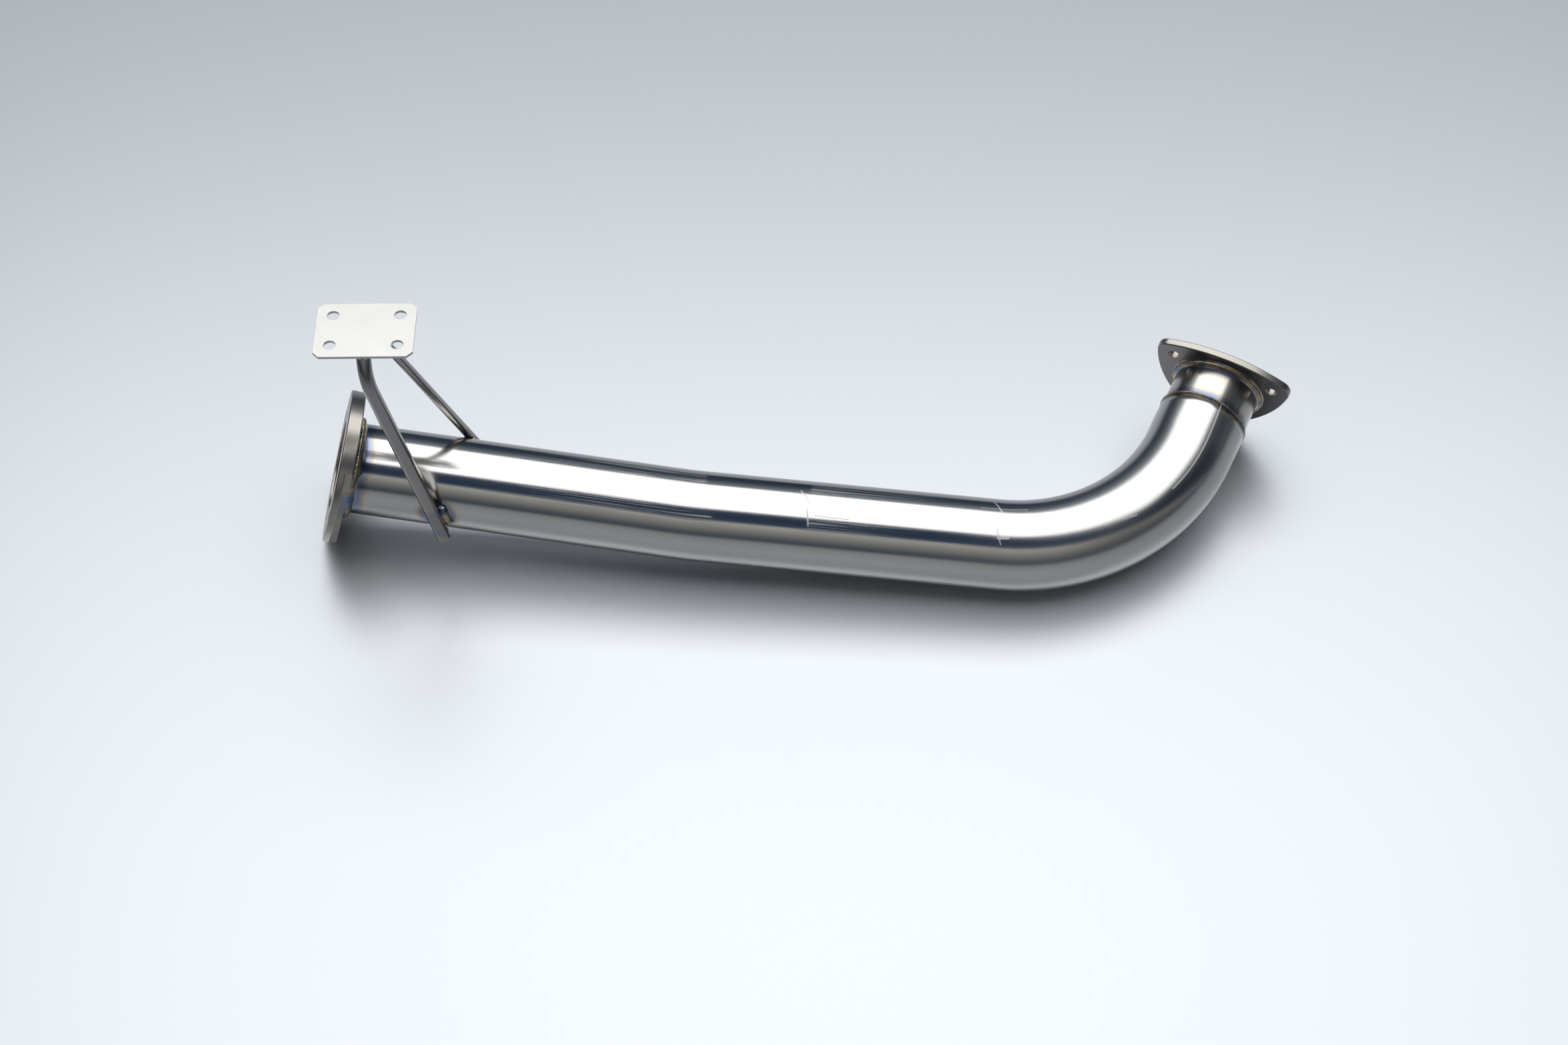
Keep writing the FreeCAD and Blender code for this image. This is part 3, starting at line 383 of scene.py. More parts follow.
def seam_curve(name, seams):
    """Curve object of straight segments: a seam is its points, its bead's radius and whether it closes."""
    data = bpy.data.curves.new(name, "CURVE")
    data.dimensions = "3D"
    for points, radius, closed in seams:
        spline = data.splines.new("POLY")
        spline.points.add(len(points) - 1)
        for target, point in zip(spline.points, points):
            target.co = (*point, 1.0)
            target.radius = radius
        spline.use_cyclic_u = closed
    curve = bpy.data.objects.new(name, data)
    bpy.context.collection.objects.link(curve)
    return curve


def grown(name, curve, tree, values):
    """Runs a tree on a curve and keeps the result as a plain mesh object."""
    modifier = curve.modifiers.new(tree.name, "NODES")
    modifier.node_group = tree
    sockets = {item.name: item.identifier for item in tree.interface.items_tree if item.in_out == "INPUT"}
    for key, value in values.items():
        modifier[sockets[key]] = value
    evaluated = curve.evaluated_get(bpy.context.evaluated_depsgraph_get())
    mesh = bpy.data.meshes.new_from_object(evaluated)
    mesh.name = name
    bpy.data.objects.remove(curve)
    made = bpy.data.objects.new(name, mesh)
    bpy.context.collection.objects.link(made)
    return made


def trim(made, point, normal, close):
    """Cuts off what lies on the normal's side of a plane, and closes the cut of a solid rod."""
    mesh = bmesh.new()
    mesh.from_mesh(made.data)
    everything = mesh.verts[:] + mesh.edges[:] + mesh.faces[:]
    cut = bmesh.ops.bisect_plane(mesh, geom=everything, plane_co=point, plane_no=normal, clear_outer=True)
    if close:
        rim = [item for item in cut["geom_cut"] if isinstance(item, bmesh.types.BMEdge)]
        bmesh.ops.contextual_create(mesh, geom=rim)
    mesh.to_mesh(made.data)
    mesh.free()


def give_wall(made, thickness):
    """Gives a swept sheet its wall, inwards from the outside surface."""
    wall = made.modifiers.new("wall", "SOLIDIFY")
    wall.thickness = thickness
    wall.offset = -1
    wall.use_even_offset = True


def keep(made, slot, *nodes):
    """The piece rides on the part and stands for its nodes, which it hides; the slot is not used."""
    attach(made, "root")
    if nodes:
        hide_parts(*nodes)


# Materials

# Brushed patches: from and to along the tube in mm, two turns about its axis in degrees, then how strong
# the scratches are at either end
BRUSHED_PATCHES = ((130, 331, -124, -88, 0.0, 1.0), (130, 339, -60, -34, 0.0, 0.9),
                   (418, 550, -122, -96, 0.8, 0.0), (418, 520, -62, -44, 0.6, 0.0),
                   (60, 420, -20, 20, 0.3, 0.3))

# Single scratches: place along the tube and turn of one end and of the other, then the width in mm
SCRATCHES = ((410, -99, 419, -80, 0.8), (417, -72, 419, -50, 0.8), (424, -64, 452, -63, 0.5),
             (568, -122, 577, -96, 0.9), (576, -58, 583, -59, 1.6), (574, -70, 578, -50, 0.6),
             (722, -53, 811, -59, 0.9), (672, -56, 685, -53, 0.9), (560, -100, 600, -101, 0.4))

# Heat tint starts inside a weld's toe, and round a stay's foot it is measured from a point below the rod
TINT_START = -1 * MM
FOOT_DEPTH = 6 * MM

# A flange takes its tint only from the weld that is nearer than this
FLANGE_REACH = 100 * MM


def new_material(name):
    """An empty material and its tree."""
    material = bpy.data.materials.new(name)
    material.use_nodes = True
    material.node_tree.nodes.clear()
    return material, material.node_tree


def distance_to_plane(tree, place, point, normal):
    """Metres from a plane, on the side that its normal points to."""
    offset = add(tree, "ShaderNodeVectorMath", {0: place, 1: tuple(point)}, operation="SUBTRACT")
    return add(tree, "ShaderNodeVectorMath", {0: offset.outputs[0], 1: tuple(normal)},
               operation="DOT_PRODUCT").outputs["Value"]


def mottled(tree, place, size, detail, tone, share):
    """A tone that darkens to a share in soft patches of a size, and the patches' unevenness about zero."""
    patches = add(tree, "ShaderNodeTexNoise", {"Vector": place, "Scale": 1 / size, "Detail": detail})
    base = add(tree, "ShaderNodeMix", {0: patches.outputs["Fac"], 6: shaded(tone), 7: shaded(tone, share)},
               data_type="RGBA")
    wander = add(tree, "ShaderNodeMath", {0: patches.outputs["Fac"], 1: 0.5}, operation="SUBTRACT")
    return base.outputs[2], wander.outputs[0]


def tinted(tree, base, distance, wander, start, width, strength=1.0):
    """Oxide colours beside a weld: blue at its toe, then bronze and straw, then bare steel."""
    finish = settings().finish
    loose = add(tree, "ShaderNodeMath", {0: wander, 1: width * 0.5, 2: distance}, operation="MULTIPLY_ADD")
    reach = add(tree, "ShaderNodeMapRange", {0: loose.outputs[0], 1: start, 2: start + width}).outputs[0]
    tones = ((0.0, finish.bronze), (0.15, finish.blue), (0.35, finish.blue), (0.55, finish.bronze),
             (0.75, finish.straw), (1.0, finish.straw))
    tint = add(tree, "ShaderNodeValToRGB", {0: reach}, tones).outputs[0]
    shares = ((0.0, 0.45), (0.25, 0.6), (0.55, 0.4), (0.75, 0.32), (1.0, 0.0))
    greys = [(position, (value * strength,) * 3) for position, value in shares]
    share = add(tree, "ShaderNodeValToRGB", {0: reach}, greys).outputs[0]
    return add(tree, "ShaderNodeMix", {0: share, 6: base, 7: tint}, data_type="RGBA").outputs[2]


def tinted_feet(tree, base, place, wander, start, width, strength):
    """Oxide colours round the feet of both stays."""
    for foot, outward in (near_stay_points()[:2], far_stay_points()[:2]):
        middle = foot - outward * FOOT_DEPTH
        away = add(tree, "ShaderNodeVectorMath", {0: place, 1: tuple(middle)}, operation="DISTANCE")
        base = tinted(tree, base, away.outputs["Value"], wander, start, width, strength)
    return base


def between(tree, value, low, high, soft):
    """One inside a range and zero outside it, with soft ends."""
    entry = add(tree, "ShaderNodeMapRange", {0: value, 1: low - soft, 2: low + soft}).outputs[0]
    leaving = add(tree, "ShaderNodeMapRange", {0: value, 1: high + soft, 2: high - soft}).outputs[0]
    return add(tree, "ShaderNodeMath", {0: entry, 1: leaving}, operation="MULTIPLY").outputs[0]


def steel_output(tree, base, grain, smoothest, roughest, depth, wear=0.0):
    """Bare metal whose grain sets its roughness and its fine relief; the metal keeps the default IOR."""
    graded = add(tree, "ShaderNodeMapRange", {0: grain, 1: 0.3, 2: 0.7, 3: smoothest, 4: roughest})
    roughness = add(tree, "ShaderNodeMath", {0: graded.outputs[0], 1: wear}, operation="ADD")
    relief = add(tree, "ShaderNodeBump", {"Height": grain, "Distance": depth, "Strength": 1.0})
    shader = add(tree, "ShaderNodeBsdfPrincipled",
                 {"Base Color": base, "Roughness": roughness.outputs[0], "Normal": relief.outputs["Normal"],
                  "Metallic": 1.0})
    add(tree, "ShaderNodeOutputMaterial", {"Surface": shader.outputs[0]})


def polish_lines(tree, place, spacing, run):
    """Fine parallel scratches along a piece: noise drawn out along its first axis."""
    drawn = add(tree, "ShaderNodeMapping", {"Vector": place, "Scale": (1 / run, 1 / spacing, 1 / spacing)})
    return add(tree, "ShaderNodeTexNoise",
               {"Vector": drawn.outputs[0], "Scale": 1.0, "Detail": 3.0, "Roughness": 0.6}).outputs["Fac"]


def scratch(tree, place, start, end, width):
    """One near a straight scratch on the unrolled tube and zero away from it."""
    run = Vector(end) - Vector(start)
    offset = add(tree, "ShaderNodeVectorMath", {0: place, 1: tuple(start)}, operation="SUBTRACT").outputs[0]
    along = add(tree, "ShaderNodeVectorMath", {0: offset, 1: tuple(run)}, operation="DOT_PRODUCT")
    share = add(tree, "ShaderNodeMath", {0: along.outputs["Value"], 1: 1 / run.length_squared},
                operation="MULTIPLY", use_clamp=True)
    nearest = add(tree, "ShaderNodeVectorMath", {0: tuple(run), "Scale": share.outputs[0]},
                  operation="SCALE")
    apart = add(tree, "ShaderNodeVectorMath", {0: offset, 1: nearest.outputs[0]}, operation="DISTANCE")
    return add(tree, "ShaderNodeMapRange",
               {0: apart.outputs["Value"], 1: width, 2: width * 0.3}).outputs[0]


def tube_wear(tree, straight):
    """Brushed patches, the light line along the elbow and single scratches on the straightened tube."""
    radius = settings().tube.outer / 2
    parts = add(tree, "ShaderNodeSeparateXYZ", {0: straight})
    run = parts.outputs["X"]
    turn = add(tree, "ShaderNodeMath", {0: parts.outputs["Z"], 1: parts.outputs["Y"]}, operation="ARCTAN2")
    around = add(tree, "ShaderNodeMath", {0: turn.outputs[0], 1: radius}, operation="MULTIPLY")
    unrolled = add(tree, "ShaderNodeCombineXYZ", {0: run, 1: around.outputs[0]}).outputs[0]
    # The scratches of a patch are finer than 0.3 mm, and are drawn 1.1 mm apart so that they show
    lines = polish_lines(tree, straight, 1.1 * MM, 150 * MM)
    lines = add(tree, "ShaderNodeMapRange", {0: lines, 1: 0.5, 2: 0.62}).outputs[0]
    worn = 0.0
    for first, last, low, high, first_share, last_share in BRUSHED_PATCHES:
        along = between(tree, run, first * MM, last * MM, 2 * MM)
        across = between(tree, turn.outputs[0], math.radians(low), math.radians(high), 0.06)
        fading = add(tree, "ShaderNodeMapRange",
                     {0: run, 1: first * MM, 2: last * MM, 3: first_share, 4: last_share}).outputs[0]
        patch = lines
        for share in (along, across, fading):
            patch = add(tree, "ShaderNodeMath", {0: patch, 1: share}, operation="MULTIPLY").outputs[0]
        worn = add(tree, "ShaderNodeMath", {0: worn, 1: patch}, operation="MAXIMUM").outputs[0]
    for first, low, last, high, width in SCRATCHES:
        start = (first * MM, math.radians(low) * radius, 0)
        end = (last * MM, math.radians(high) * radius, 0)
        mark = scratch(tree, unrolled, start, end, width * MM)
        worn = add(tree, "ShaderNodeMath", {0: worn, 1: mark}, operation="MAXIMUM").outputs[0]
    return worn


def along_tube_steel():
    """Stainless steel tube, polished along its length: clear bands of the room, broken by fine scratches."""
    weld = settings().weld
    material, tree = new_material("stainless_tube_polished")
    place = add(tree, "ShaderNodeTexCoord").outputs["Object"]
    straight = add(tree, "ShaderNodeAttribute", attribute_name="straightened").outputs["Vector"]
    # Handling smudges are about 56 mm wide, and the edge of the heat tint wanders every 17 mm
    base, smudge = mottled(tree, place, 55.556 * MM, 4.0, settings().finish.tube, 0.93)
    edges = add(tree, "ShaderNodeTexNoise", {"Vector": place, "Scale": 1 / (16.667 * MM), "Detail": 2.0})
    wander = add(tree, "ShaderNodeMath", {0: edges.outputs["Fac"], 1: 0.5}, operation="SUBTRACT").outputs[0]
    rear_face = PIPE_ORIGIN + rear_normal() * settings().flange.rear_thickness
    rear = distance_to_plane(tree, place, rear_face, rear_normal())
    base = tinted(tree, base, rear, wander, weld.rear_leg + TINT_START, 14 * MM, 1.2)
    collar = distance_to_plane(tree, place, collar_start(), -collar_axis())
    base = tinted(tree, base, collar, wander, -2 * MM, 7 * MM)
    base = tinted_feet(tree, base, place, wander, 10 * MM, 11 * MM, 1.3)
    # The elbow mirrors the room less sharply than the straights
    run = add(tree, "ShaderNodeSeparateXYZ", {0: straight}).outputs["X"]
    wear = add(tree, "ShaderNodeMapRange", {0: run, 1: 0.52, 2: 0.66, 3: 0.03, 4: 0.12}).outputs[0]
    for part, share in ((smudge, 0.06), (tube_wear(tree, straight), 0.42)):
        wear = add(tree, "ShaderNodeMath", {0: part, 1: share, 2: wear}, operation="MULTIPLY_ADD").outputs[0]
    # Polishing lines are 0.4 mm apart on the tube and about 60 mm long
    lines = polish_lines(tree, straight, 0.4 * MM, 60 * MM)
    steel_output(tree, base, lines, 0.09, 0.15, 0.0012 * MM, wear)
    return material


def collar_steel():
    """The same steel, linished: a softer mirror than the tube, straw-tinted by the welds at both ends."""
    weld = settings().weld
    material, tree = new_material("stainless_collar_linished")
    place = add(tree, "ShaderNodeTexCoord").outputs["Object"]
    straight = add(tree, "ShaderNodeAttribute", attribute_name="straightened").outputs["Vector"]
    base, wander = mottled(tree, place, 16.667 * MM, 2.0, settings().finish.collar, 0.9)
    front = distance_to_plane(tree, place, collar_end(), -front_normal())
    base = tinted(tree, base, front, wander, weld.front_leg + TINT_START, 14 * MM, 1.1)
    joint = distance_to_plane(tree, place, collar_start(), collar_axis())
    base = tinted(tree, base, joint, wander, weld.collar_bead + TINT_START, 9 * MM, 1.2)
    # Linishing lines are 0.4 mm apart and about 20 mm long
    lines = polish_lines(tree, straight, 0.4 * MM, 20 * MM)
    steel_output(tree, base, lines, 0.18, 0.28, 0.0015 * MM)
    return material


def flange_steel():
    """Cut stainless plate: satin with grain in all directions, tinted near the weld, with painted shade on
    the faces towards the tube.
    """
    tube = settings().tube
    flange = settings().flange
    weld = settings().weld
    finish = settings().finish
    material, tree = new_material("stainless_plate_cut")
    place = add(tree, "ShaderNodeTexCoord").outputs["Object"]
    base, wander = mottled(tree, place, 22.222 * MM, 3.0, finish.flange, 0.82)
    for point, axis, toe in ((PIPE_ORIGIN, tube_axis(), tube.outer / 2 + weld.rear_leg),
                             (collar_end(), collar_axis(), tube.outer / 2 - tube.wall + weld.front_leg)):
        offset = add(tree, "ShaderNodeVectorMath", {0: place, 1: tuple(point)}, operation="SUBTRACT")
        moment = add(tree, "ShaderNodeVectorMath", {0: offset.outputs[0], 1: tuple(axis)},
                     operation="CROSS_PRODUCT")
        radius = add(tree, "ShaderNodeVectorMath", {0: moment.outputs[0]}, operation="LENGTH")
        apart = add(tree, "ShaderNodeVectorMath", {0: place, 1: tuple(point)}, operation="DISTANCE")
        other = add(tree, "ShaderNodeMath", {0: apart.outputs["Value"], 1: FLANGE_REACH},
                    operation="GREATER_THAN")
        away = add(tree, "ShaderNodeMath", {0: radius.outputs["Value"], 1: other.outputs[0]},
                   operation="ADD")
        base = tinted(tree, base, away.outputs[0], wander, toe + TINT_START, 8 * MM, 0.7)
    # Painted shade: the faces towards the tube are darkened as if they mirrored the shadowed floor, and the
    # cut rim stays bright
    rear_face = PIPE_ORIGIN + rear_normal() * flange.rear_thickness
    for point, normal in ((collar_end(), -front_normal()), (rear_face, rear_normal())):
        level = distance_to_plane(tree, place, point, normal)
        skin = between(tree, level, -0.2 * MM, 0.4 * MM, 0.1 * MM)
        base = add(tree, "ShaderNodeMix", {0: skin, 6: base, 7: shaded(finish.skin)},
                   data_type="RGBA").outputs[2]
    # The grain of rolled plate is about 0.5 mm
    grain = add(tree, "ShaderNodeTexNoise", {"Vector": place, "Scale": 1 / (0.5 * MM), "Detail": 3.0})
    steel_output(tree, base, grain.outputs["Fac"], 0.24, 0.36, 0.004 * MM)
    return material


def plate_steel():
    """Thin stainless sheet with a satin mill face: pale, even and almost matt."""
    material, tree = new_material("stainless_sheet_satin")
    place = add(tree, "ShaderNodeTexCoord").outputs["Object"]
    base = mottled(tree, place, 25 * MM, 3.0, settings().finish.plate, 0.92)[0]
    # Mill lines are 0.5 mm apart and about 15 mm long
    lines = polish_lines(tree, place, 0.5 * MM, 15 * MM)
    steel_output(tree, base, lines, 0.3, 0.42, 0.006 * MM)
    return material


def rod_steel():
    """Drawn stainless rod: bright, with faint lines along it and oxide near its welds."""
    material, tree = new_material("stainless_rod_drawn")
    place = add(tree, "ShaderNodeTexCoord").outputs["Object"]
    straight = add(tree, "ShaderNodeAttribute", attribute_name="straightened").outputs["Vector"]
    base, wander = mottled(tree, place, 12.5 * MM, 2.0, settings().finish.rod, 0.85)
    under_plate = distance_to_plane(tree, place, Z_AXIS * plate_box()[2], -Z_AXIS)
    base = tinted(tree, base, under_plate, wander, 2 * MM, 14 * MM, 0.5)
    base = tinted_feet(tree, base, place, wander, 11 * MM, 16 * MM, 0.6)
    # Drawing lines are 0.5 mm apart and about 30 mm long
    lines = polish_lines(tree, straight, 0.5 * MM, 30 * MM)
    steel_output(tree, base, lines, 0.14, 0.26, 0.003 * MM)
    return material


def weld_steel():
    """Filler metal as it froze: bright ripples with gold, bronze and blue oxide in patches 18 mm wide."""
    finish = settings().finish
    material, tree = new_material("stainless_weld_bead")
    place = add(tree, "ShaderNodeTexCoord").outputs["Object"]
    patch = add(tree, "ShaderNodeTexNoise", {"Vector": place, "Scale": 1 / (18.182 * MM), "Detail": 2.0})
    tones = ((0.3, finish.blue), (0.42, finish.weld), (0.52, finish.straw), (0.62, finish.weld),
             (0.75, finish.bronze))
    tint = add(tree, "ShaderNodeValToRGB", {0: patch.outputs["Fac"]}, tones).outputs[0]
    base = add(tree, "ShaderNodeMix", {0: 0.7, 6: shaded(finish.weld), 7: tint}, data_type="RGBA").outputs[2]
    # The surface of a bead is uneven over about 1 mm
    fine = add(tree, "ShaderNodeTexNoise", {"Vector": place, "Scale": 1 / (1.111 * MM), "Detail": 2.0})
    steel_output(tree, base, fine.outputs["Fac"], 0.14, 0.26, 0.02 * MM)
    return material


def floor_sheet():
    """Pale anodised sheet with a satin face: it mirrors the softbox broadly and darkens under the tube."""
    material, tree = new_material("anodised_sheet_satin")
    shader = add(tree, "ShaderNodeBsdfPrincipled",
                 {"Base Color": shaded(settings().finish.floor), "Metallic": 0.6, "Roughness": 0.42})
    add(tree, "ShaderNodeOutputMaterial", {"Surface": shader.outputs[0]})
    return material


# Pieces

# Step along a centreline, and what is swept past an end before it is cut off
PATH_STEP = 2 * MM
SPARE = 16 * MM
ROD_SIDES = 48
BEND_STEPS = 24

# Below this angle two faces of a dressed copy are one smooth face
SMOOTH_ANGLE = math.radians(28)

# Points on each half of a foot's seam, and the rounds in which they settle on the tube
FOOT_STEPS = 12
SETTLE_ROUNDS = 12


def straight_points(first, last, step):
    """Evenly spaced points from the first up to, but without, the last."""
    count = max(1, round((last - first).length / step))
    return [first.lerp(last, number / count) for number in range(count)]


def arc_points(start, start_angle, turn, radius, step):
    """Points along an arc that leaves its start at an angle and turns left."""
    centre = start + turned(start_angle + math.pi / 2) * radius
    count = max(2, round(turn * radius / step))
    return [centre - turned(start_angle + math.pi / 2 + turn * number / count) * radius
            for number in range(count)]


def tube_centreline():
    """Points of the tube's centreline in the row frame, from outside the rear flange to its front end."""
    tube = settings().tube
    kink_start, kink_end, elbow_start, elbow_end = tube_corners()
    end = elbow_end + turned(final_angle()) * tube.front_run
    points = straight_points(X_AXIS * -SPARE, kink_start, 4 * PATH_STEP)
    points += arc_points(kink_start, 0, tube.kink_angle, tube.kink_radius, PATH_STEP)
    points += straight_points(kink_end, elbow_start, 4 * PATH_STEP)
    points += arc_points(elbow_start, tube.kink_angle, tube.elbow_angle, tube.elbow_radius, PATH_STEP)
    points += straight_points(elbow_end, end, 4 * PATH_STEP)
    points.append(end)
    return [placed(point) for point in points]


def make_tube():
    tube = settings().tube
    curve = seam_curve("tube_centreline", [(tube_centreline(), 1.0, False)])
    made = grown("front_pipe_tube", curve, sweep_tree(),
                 {"Radius": tube.outer / 2, "Sides": tube.sides, "Caps": False,
                  "Finish": along_tube_steel()})
    trim(made, PIPE_ORIGIN + tube_axis() * tube.end_setback, -rear_normal(), False)
    give_wall(made, tube.wall)
    keep(made, "tube_steel", "main_tube")


def make_collar():
    tube = settings().tube
    flange = settings().flange
    start = collar_start() - collar_axis() * tube.collar_insert
    end = collar_end() + collar_axis() * (flange.front_thickness + SPARE)
    points = straight_points(start, end, PATH_STEP) + [end]
    curve = seam_curve("collar_centreline", [(points, 1.0, False)])
    made = grown("flange_collar", curve, sweep_tree(),
                 {"Radius": tube.outer / 2 - tube.wall, "Sides": tube.sides, "Caps": False,
                  "Finish": collar_steel()})
    cut = collar_end() + front_normal() * (flange.front_thickness - tube.end_setback)
    trim(made, cut, front_normal(), False)
    give_wall(made, tube.wall)
    keep(made, "collar_steel", "front_collar")


def dressed_copy(name, node, material):
    """A node's own form with merged points, flat faces and slightly worn edges."""
    made = bpy.data.objects.new(name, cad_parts[node].data.copy())
    bpy.context.collection.objects.link(made)
    mesh = bmesh.new()
    mesh.from_mesh(made.data)
    bmesh.ops.remove_doubles(mesh, verts=mesh.verts, dist=0.005 * MM)
    bmesh.ops.dissolve_limit(mesh, angle_limit=math.radians(0.5), verts=mesh.verts, edges=mesh.edges)
    mesh.to_mesh(made.data)
    mesh.free()
    made.data.materials.clear()
    made.data.materials.append(material)
    made.data.shade_smooth()
    made.data.set_sharp_from_angle(angle=SMOOTH_ANGLE)
    worn = made.modifiers.new("worn_edges", "BEVEL")
    worn.width = settings().flange.edge_round
    worn.segments = 2
    worn.limit_method = "ANGLE"
    worn.angle_limit = SMOOTH_ANGLE
    worn.harden_normals = True
    return made


def make_flanges():
    material = flange_steel()
    for name, node in (("rear_flange_plate", "rear_flange"), ("front_flange_plate", "front_flange")):
        keep(dressed_copy(name, node, material), "flange_steel", node)


def make_bracket():
    keep(dressed_copy("bracket_sheet", "bracket_plate", plate_steel()), "plate_steel", "bracket_plate")


def rod_piece(name, points, diameter, material, node):
    """A solid rod along its centreline, cut flush under the bracket plate."""
    curve = seam_curve(name + "_centreline", [(points, 1.0, False)])
    made = grown(name, curve, sweep_tree(),
                 {"Radius": diameter / 2, "Sides": ROD_SIDES, "Caps": True, "Finish": material})
    trim(made, Vector((0, 0, plate_box()[2])), Z_AXIS, True)
    made.data.set_sharp_from_angle(angle=math.radians(40))
    keep(made, "rod_steel", node)


def make_stays():
    stay = settings().stay
    material = rod_steel()
    foot, _, corner, top = near_stay_points()
    lower = (corner - foot).normalized()
    upper = (top - corner).normalized()
    turn = lower.angle(upper)
    tangent = stay.near_bend * math.tan(turn / 2)
    inward = (upper - lower * lower.dot(upper)).normalized()
    bend_start = corner - lower * tangent
    points = straight_points(foot - lower * stay.near_below, bend_start, 2 * PATH_STEP)
    for number in range(BEND_STEPS + 1):
        step = turn * number / BEND_STEPS
        points.append(bend_start + (lower * math.sin(step) + inward * (1 - math.cos(step))) * stay.near_bend)
    points.append(top + upper * stay.near_rod)
    rod_piece("near_stay_rod", points, stay.near_rod, material, "near_stay")

    foot, _, top = far_stay_points()
    along = (top - foot).normalized()
    end = top + along * stay.far_rod * 2
    points = straight_points(foot - along * stay.far_below, end, 2 * PATH_STEP) + [end]
    rod_piece("far_stay_rod", points, stay.far_rod, material, "far_stay")


def ring_seam(point, normal, axis, radius, leg, count):
    """Closed seam of a fillet between a flat face and a round piece that leaves it on the slant."""
    slant = axis.dot(normal)
    major = (axis - normal * slant).normalized()
    minor = normal.cross(major)
    # The bead's middle stands a third of the leg out from the corner
    inset = leg * 0.3
    centre = point + axis * (inset / slant)
    seam = []
    for number in range(count):
        turn = 2 * math.pi * number / count
        seam.append(centre + major * (math.cos(turn) * (radius / slant + inset))
                    + minor * (math.sin(turn) * (radius + inset)))
    return seam


def foot_seams(foot, outward, rod_axis, rod_diameter):
    """Two open seams where a rod lies along the tube's side, one on each side of it."""
    rod_axis = rod_axis.normalized()
    beside = outward.cross(rod_axis).normalized()
    axis = tube_axis()
    bead = rod_diameter * 0.25
    height = settings().tube.outer / 2 + bead * 0.3
    half = settings().weld.foot_length * 0.4 * rod_diameter / settings().stay.near_rod
    seams = []
    for side in (-1, 1):
        seam = []
        for number in range(2 * FOOT_STEPS + 1):
            along = rod_axis * (half * (number / FOOT_STEPS - 1))
            point = foot + along + beside * (side * (rod_diameter / 2 + bead * 0.25))
            for _ in range(SETTLE_ROUNDS):
                relative = point - PIPE_ORIGIN
                across = relative - axis * relative.dot(axis)
                point -= outward * (across.length - height)
            seam.append(point)
        seams.append((seam, bead, False))
    return seams


def bead_piece(name, seams, nodes):
    """Rippled beads along their seams, and the same finish on the solids that they lie on."""
    weld = settings().weld
    curve = seam_curve(name + "_seams", seams)
    material = bpy.data.materials["stainless_weld_bead"]
    made = grown(name, curve, bead_tree(), {"Pitch": weld.pitch, "Seed": weld.seed, "Finish": material})
    keep(made, "weld_steel")
    for node in nodes:
        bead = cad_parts[node].data
        bead.materials.clear()
        bead.materials.append(material)


def make_welds():
    tube = settings().tube
    weld = settings().weld
    stay = settings().stay
    inner = tube.outer / 2 - tube.wall
    weld_steel()
    normal = rear_normal()
    along = tube_axis()
    face = PIPE_ORIGIN + along * (settings().flange.rear_thickness / along.dot(normal))
    rear = ring_seam(face, normal, along, tube.outer / 2, weld.rear_leg, 180)
    bead_piece("rear_flange_ripples", [(rear, weld.rear_leg * 0.5, True)], ["rear_flange_weld"])
    front = ring_seam(collar_end(), -front_normal(), -collar_axis(), inner, weld.front_leg, 180)
    bead_piece("front_flange_ripples", [(front, weld.front_leg * 0.5, True)], ["front_flange_weld"])
    # The tube's end is square to the collar, and the least slant starts its seam at the top
    upward = collar_axis().lerp(Z_AXIS, 0.001).normalized()
    joint = ring_seam(collar_start(), collar_axis(), upward, inner, weld.collar_bead, 180)
    bead_piece("collar_ripples", [(joint, weld.collar_bead * 0.45, True)], ["collar_weld"])

    foot, outward, corner, top = near_stay_points()
    seams = foot_seams(foot, outward, corner - foot, stay.near_rod)
    upper = (corner - top).normalized()
    seams.append((ring_seam(top, -Z_AXIS, upper, stay.near_rod / 2, weld.plate_leg, 60),
                  weld.plate_leg * 0.5, True))
    foot, outward, top = far_stay_points()
    seams += foot_seams(foot, outward, top - foot, stay.far_rod)
    upper = (foot - top).normalized()
    seams.append((ring_seam(top, -Z_AXIS, upper, stay.far_rod / 2, weld.plate_leg, 40),
                  weld.plate_leg * 0.5, True))
    bead_piece("stay_ripples", seams,
               ["near_stay_plate_weld", "far_stay_plate_weld", "near_stay_weld_rear", "near_stay_weld_front",
                "far_stay_weld_rear", "far_stay_weld_front"])


# Stage

CAMERA_PLACE = Vector((23.857, -1893.277, 2166.87)) * MM
CAMERA_TURN = (math.radians(40.963), math.radians(0.951), math.radians(0.207))
CAMERA_LENS = 77.07
CAMERA_SENSOR = 36.0
FLOOR_SPAN = 30.0

# Softbox: metres along the part, and its reach to the camera's side and behind, as shares of its height
SOFTBOX_LENGTH = 3.2
SOFTBOX_AHEAD = 0.364
SOFTBOX_BEHIND = 1.036

# Brightness of the room by the angle over the near horizon, in degrees, up over the part and down behind it
ROOM_BANDS = ((0, "#3E4858"), (10, "#5E636A"), (28, "#9C9A96"), (40, "#C0BEBA"), (43, "#2C3E58"),
              (68, "#22324A"), (90, "#2A3444"), (136, "#8C949C"), (160, "#3A4658"), (180, "#242E3E"))

# Towards the ends of the part the room is darker: share of the brightness that is left there
ROOM_END_SHARE = 0.5


def make_camera():
    data = bpy.data.cameras.new("camera")
    data.lens = CAMERA_LENS
    data.sensor_width = CAMERA_SENSOR
    data.clip_end = 100
    camera = bpy.data.objects.new("camera", data)
    camera.location = CAMERA_PLACE
    camera.rotation_euler = CAMERA_TURN
    bpy.context.collection.objects.link(camera)
    bpy.context.scene.camera = camera


